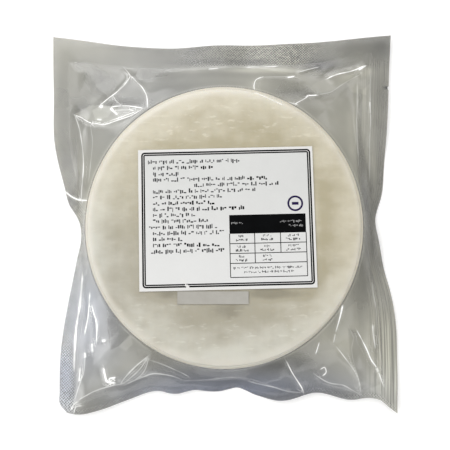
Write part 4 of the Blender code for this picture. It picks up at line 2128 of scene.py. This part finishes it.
@dataclass(frozen=True)
class PaperFinish:
    """Coated paper or a field of ink on it."""

    name: str
    colour: Colour
    shade: Colour
    roughness: float
    grain_scale: float = 60.0
    grain: float = 0.5
    bump: float = 0.12
    gloss: float = 0.5
    glow: float = 0.0
    painted_lit_foot: float = 0.0  # painted light: how much lighter the sheet's lower end is
    painted_lit_colour: Colour = (0.85, 0.85, 0.85)

    def build(self, group: bpy.types.NodeTree) -> Material:
        """Make the material.

        Args:
            group: The fine grain group.

        Returns:
            The material.
        """
        material, nodes, shader, coordinates = new_material(self.name)
        grain = add_grain(nodes, group, coordinates.outputs["Object"], self.grain_scale, self.grain)
        share = nodes.ramp(grain.outputs["Height"], 0.3, 0.7)
        tone = nodes.mix(share, self.shade, self.colour)
        # Painted light, lighter towards the sheet's lower end
        if self.painted_lit_foot:
            _, y = nodes.split(coordinates.outputs["Object"])
            lit = nodes.ramp(y, -0.045, 0.05, self.painted_lit_foot, 0)
            tone = nodes.mix(lit, tone, self.painted_lit_colour)
        nodes.feed(shader.inputs["Base Color"], tone)
        rough = nodes.times(grain.outputs["Value"], self.roughness)
        nodes.feed(shader.inputs["Roughness"], rough)
        shader.inputs["Specular IOR Level"].default_value = self.gloss
        shader.inputs["Emission Color"].default_value = (*self.colour, 1)
        shader.inputs["Emission Strength"].default_value = self.glow
        nodes.feed(shader.inputs["Normal"], nodes.bump(grain.outputs["Height"], self.bump, 0.0002))
        return material


PAPER_FINISHES = (
    PaperFinish("black_print", (0.002, 0.0025, 0.003), (0.001, 0.0012, 0.0015), 0.5, gloss=0.06),
    PaperFinish("grey_print", (0.030, 0.030, 0.034), (0.014, 0.014, 0.018), 0.5, gloss=0.2),
    PaperFinish("purple_print", (0.016, 0.006, 0.06), (0.010, 0.004, 0.045), 0.5, gloss=0.15),
    PaperFinish("white_print", (0.34, 0.34, 0.34), (0.22, 0.22, 0.22), 0.5),
    PaperFinish("label_paper", (0.755, 0.75, 0.735), (0.73, 0.725, 0.71), 0.45, 25, gloss=0.3),
    PaperFinish(
        "label_ground", (0.665, 0.67, 0.66), (0.64, 0.645, 0.635), 0.45, 25, gloss=0.3, painted_lit_foot=0.36
    ),
    PaperFinish("plain_grey_sticker", (0.43, 0.42, 0.385), (0.39, 0.375, 0.34), 0.5, 40, gloss=0.3),
    PaperFinish("pale_floor", (0.93, 0.93, 0.93), (0.92, 0.92, 0.92), 0.8, 3, gloss=0.2, glow=0.22),
)


# ---------------- floor, lights and camera


@dataclass(frozen=True)
class Strip:
    """A long light that draws a sheen along the film's folds."""

    azimuth: float
    zenith: float
    radiance: float
    distance: float = 0.75
    length: float = 0.60
    width: float = 0.16


@dataclass
class Studio:
    """A pale floor, soft light and the camera."""

    floor_material: Material
    aim: Vector = field(default_factory=lambda: Vector((0.0005, -0.0005, 0.018)))
    camera_distance: float = 0.5
    camera_elevation: float = math.radians(84)
    view_width: float = 0.35235  # what the picture's width spans at the camera's aim
    sensor: float = 36.0
    world_colour: Colour = (1.0, 0.99, 0.965)
    world_strength: float = 0.40
    strips: tuple[Strip, ...] = (
        Strip(20, 40, 1.7),
        Strip(75, 54, 1.7),
        Strip(140, 42, 1.9),
        Strip(200, 50, 1.9),
        Strip(255, 46, 1.4),
        Strip(310, 52, 1.4),
    )

    @staticmethod
    def add_area(name: str, place: Vector, size: tuple[float, float], radiance: float) -> Piece:
        """Add an area light that shines at the pack.

        Args:
            name: The light's name.
            place: Where it is.
            size: Its width and length.
            radiance: How bright its face is.

        Returns:
            The light.
        """
        data = bpy.data.lights.new(name, "AREA")
        data.shape = "RECTANGLE"
        data.size, data.size_y = size
        data.energy = radiance * math.pi * size[0] * size[1]
        light = bpy.data.objects.new(name, data)
        light.location = place
        light.rotation_mode = "QUATERNION"
        light.rotation_quaternion = (-place).to_track_quat("-Z", "Y")
        light.visible_camera = False
        bpy.context.scene.collection.objects.link(light)
        return light

    def build_lights(self) -> None:
        """Add the soft light from behind, a fill and the strips."""
        self.add_area("soft_back_light", Vector((-0.25, 0.95, 0.95)), (0.9, 0.7), 2.8)
        self.add_area("soft_left_light", Vector((-0.95, -0.15, 0.85)), (0.7, 0.9), 2.6)
        for index, strip in enumerate(self.strips):
            around, down = math.radians(strip.azimuth), math.radians(strip.zenith)
            place = strip.distance * Vector(
                (math.sin(down) * math.cos(around), math.sin(down) * math.sin(around), math.cos(down))
            )
            self.add_area(f"strip_light_{index}", place, (strip.length, strip.width), strip.radiance)
        world = bpy.data.worlds.new("studio")
        world.use_nodes = True
        background = world.node_tree.nodes["Background"]
        background.inputs["Color"].default_value = (*self.world_colour, 1)
        background.inputs["Strength"].default_value = self.world_strength
        bpy.context.scene.world = world

    def build_floor(self) -> None:
        """Add the pale floor just under the pack."""
        deselect_all()
        bpy.ops.mesh.primitive_plane_add(size=6, location=(0, 0, -0.0002))
        floor = bpy.context.object
        floor.name = "floor"
        apply_place(floor)
        floor.data.materials.append(self.floor_material)
        floor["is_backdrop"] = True

    def build_camera(self) -> None:
        """Add the camera, almost straight above and a little towards the foot of the pack."""
        data = bpy.data.cameras.new("camera")
        data.sensor_width = self.sensor
        data.lens = self.sensor * self.camera_distance / self.view_width
        camera = bpy.data.objects.new("camera", data)
        back = Vector((0, -math.cos(self.camera_elevation), math.sin(self.camera_elevation)))
        camera.location = self.aim + back * self.camera_distance
        camera.rotation_euler = (math.pi / 2 - self.camera_elevation, 0, 0)
        bpy.context.scene.collection.objects.link(camera)
        bpy.context.scene.camera = camera

    def build(self) -> None:
        """Set up the floor, the lights, the camera and plain colours."""
        self.build_floor()
        self.build_lights()
        self.build_camera()
        bpy.context.scene.view_settings.view_transform = "Standard"


# ---------------- the whole


def box_as_lists() -> list[list[float]]:
    """Return the shown object's box as two plain lists."""
    return [list(corner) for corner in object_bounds()]


def main() -> list[list[float]]:
    """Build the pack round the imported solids.

    Returns:
        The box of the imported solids.
    """
    logging.basicConfig(level=logging.INFO, format="%(name)s: %(message)s")
    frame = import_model()
    solid_box = box_as_lists()
    grain = fine_grain_group()
    papers = {finish.name: finish.build(grain) for finish in PAPER_FINISHES}
    stack = StackSize()
    edge = SealedEdge(frame["nodes"]["pouch"])
    seals = SealWidths()
    SheetStack(stack, RicePaperFinish().build()).build()
    PouchFilm(stack, edge, seals, ClearFilmFinish().build(seals)).build()
    PaperLabel(
        paper=papers["label_paper"],
        panel=papers["label_ground"],
        ink=papers["black_print"],
        grey_ink=papers["grey_print"],
        mark_ink=papers["purple_print"],
        white_ink=papers["white_print"],
    ).build()
    DateSticker(papers["plain_grey_sticker"]).build()
    Studio(papers["pale_floor"]).build()
    return solid_box


if __name__ == "__main__":
    cad_box = main()
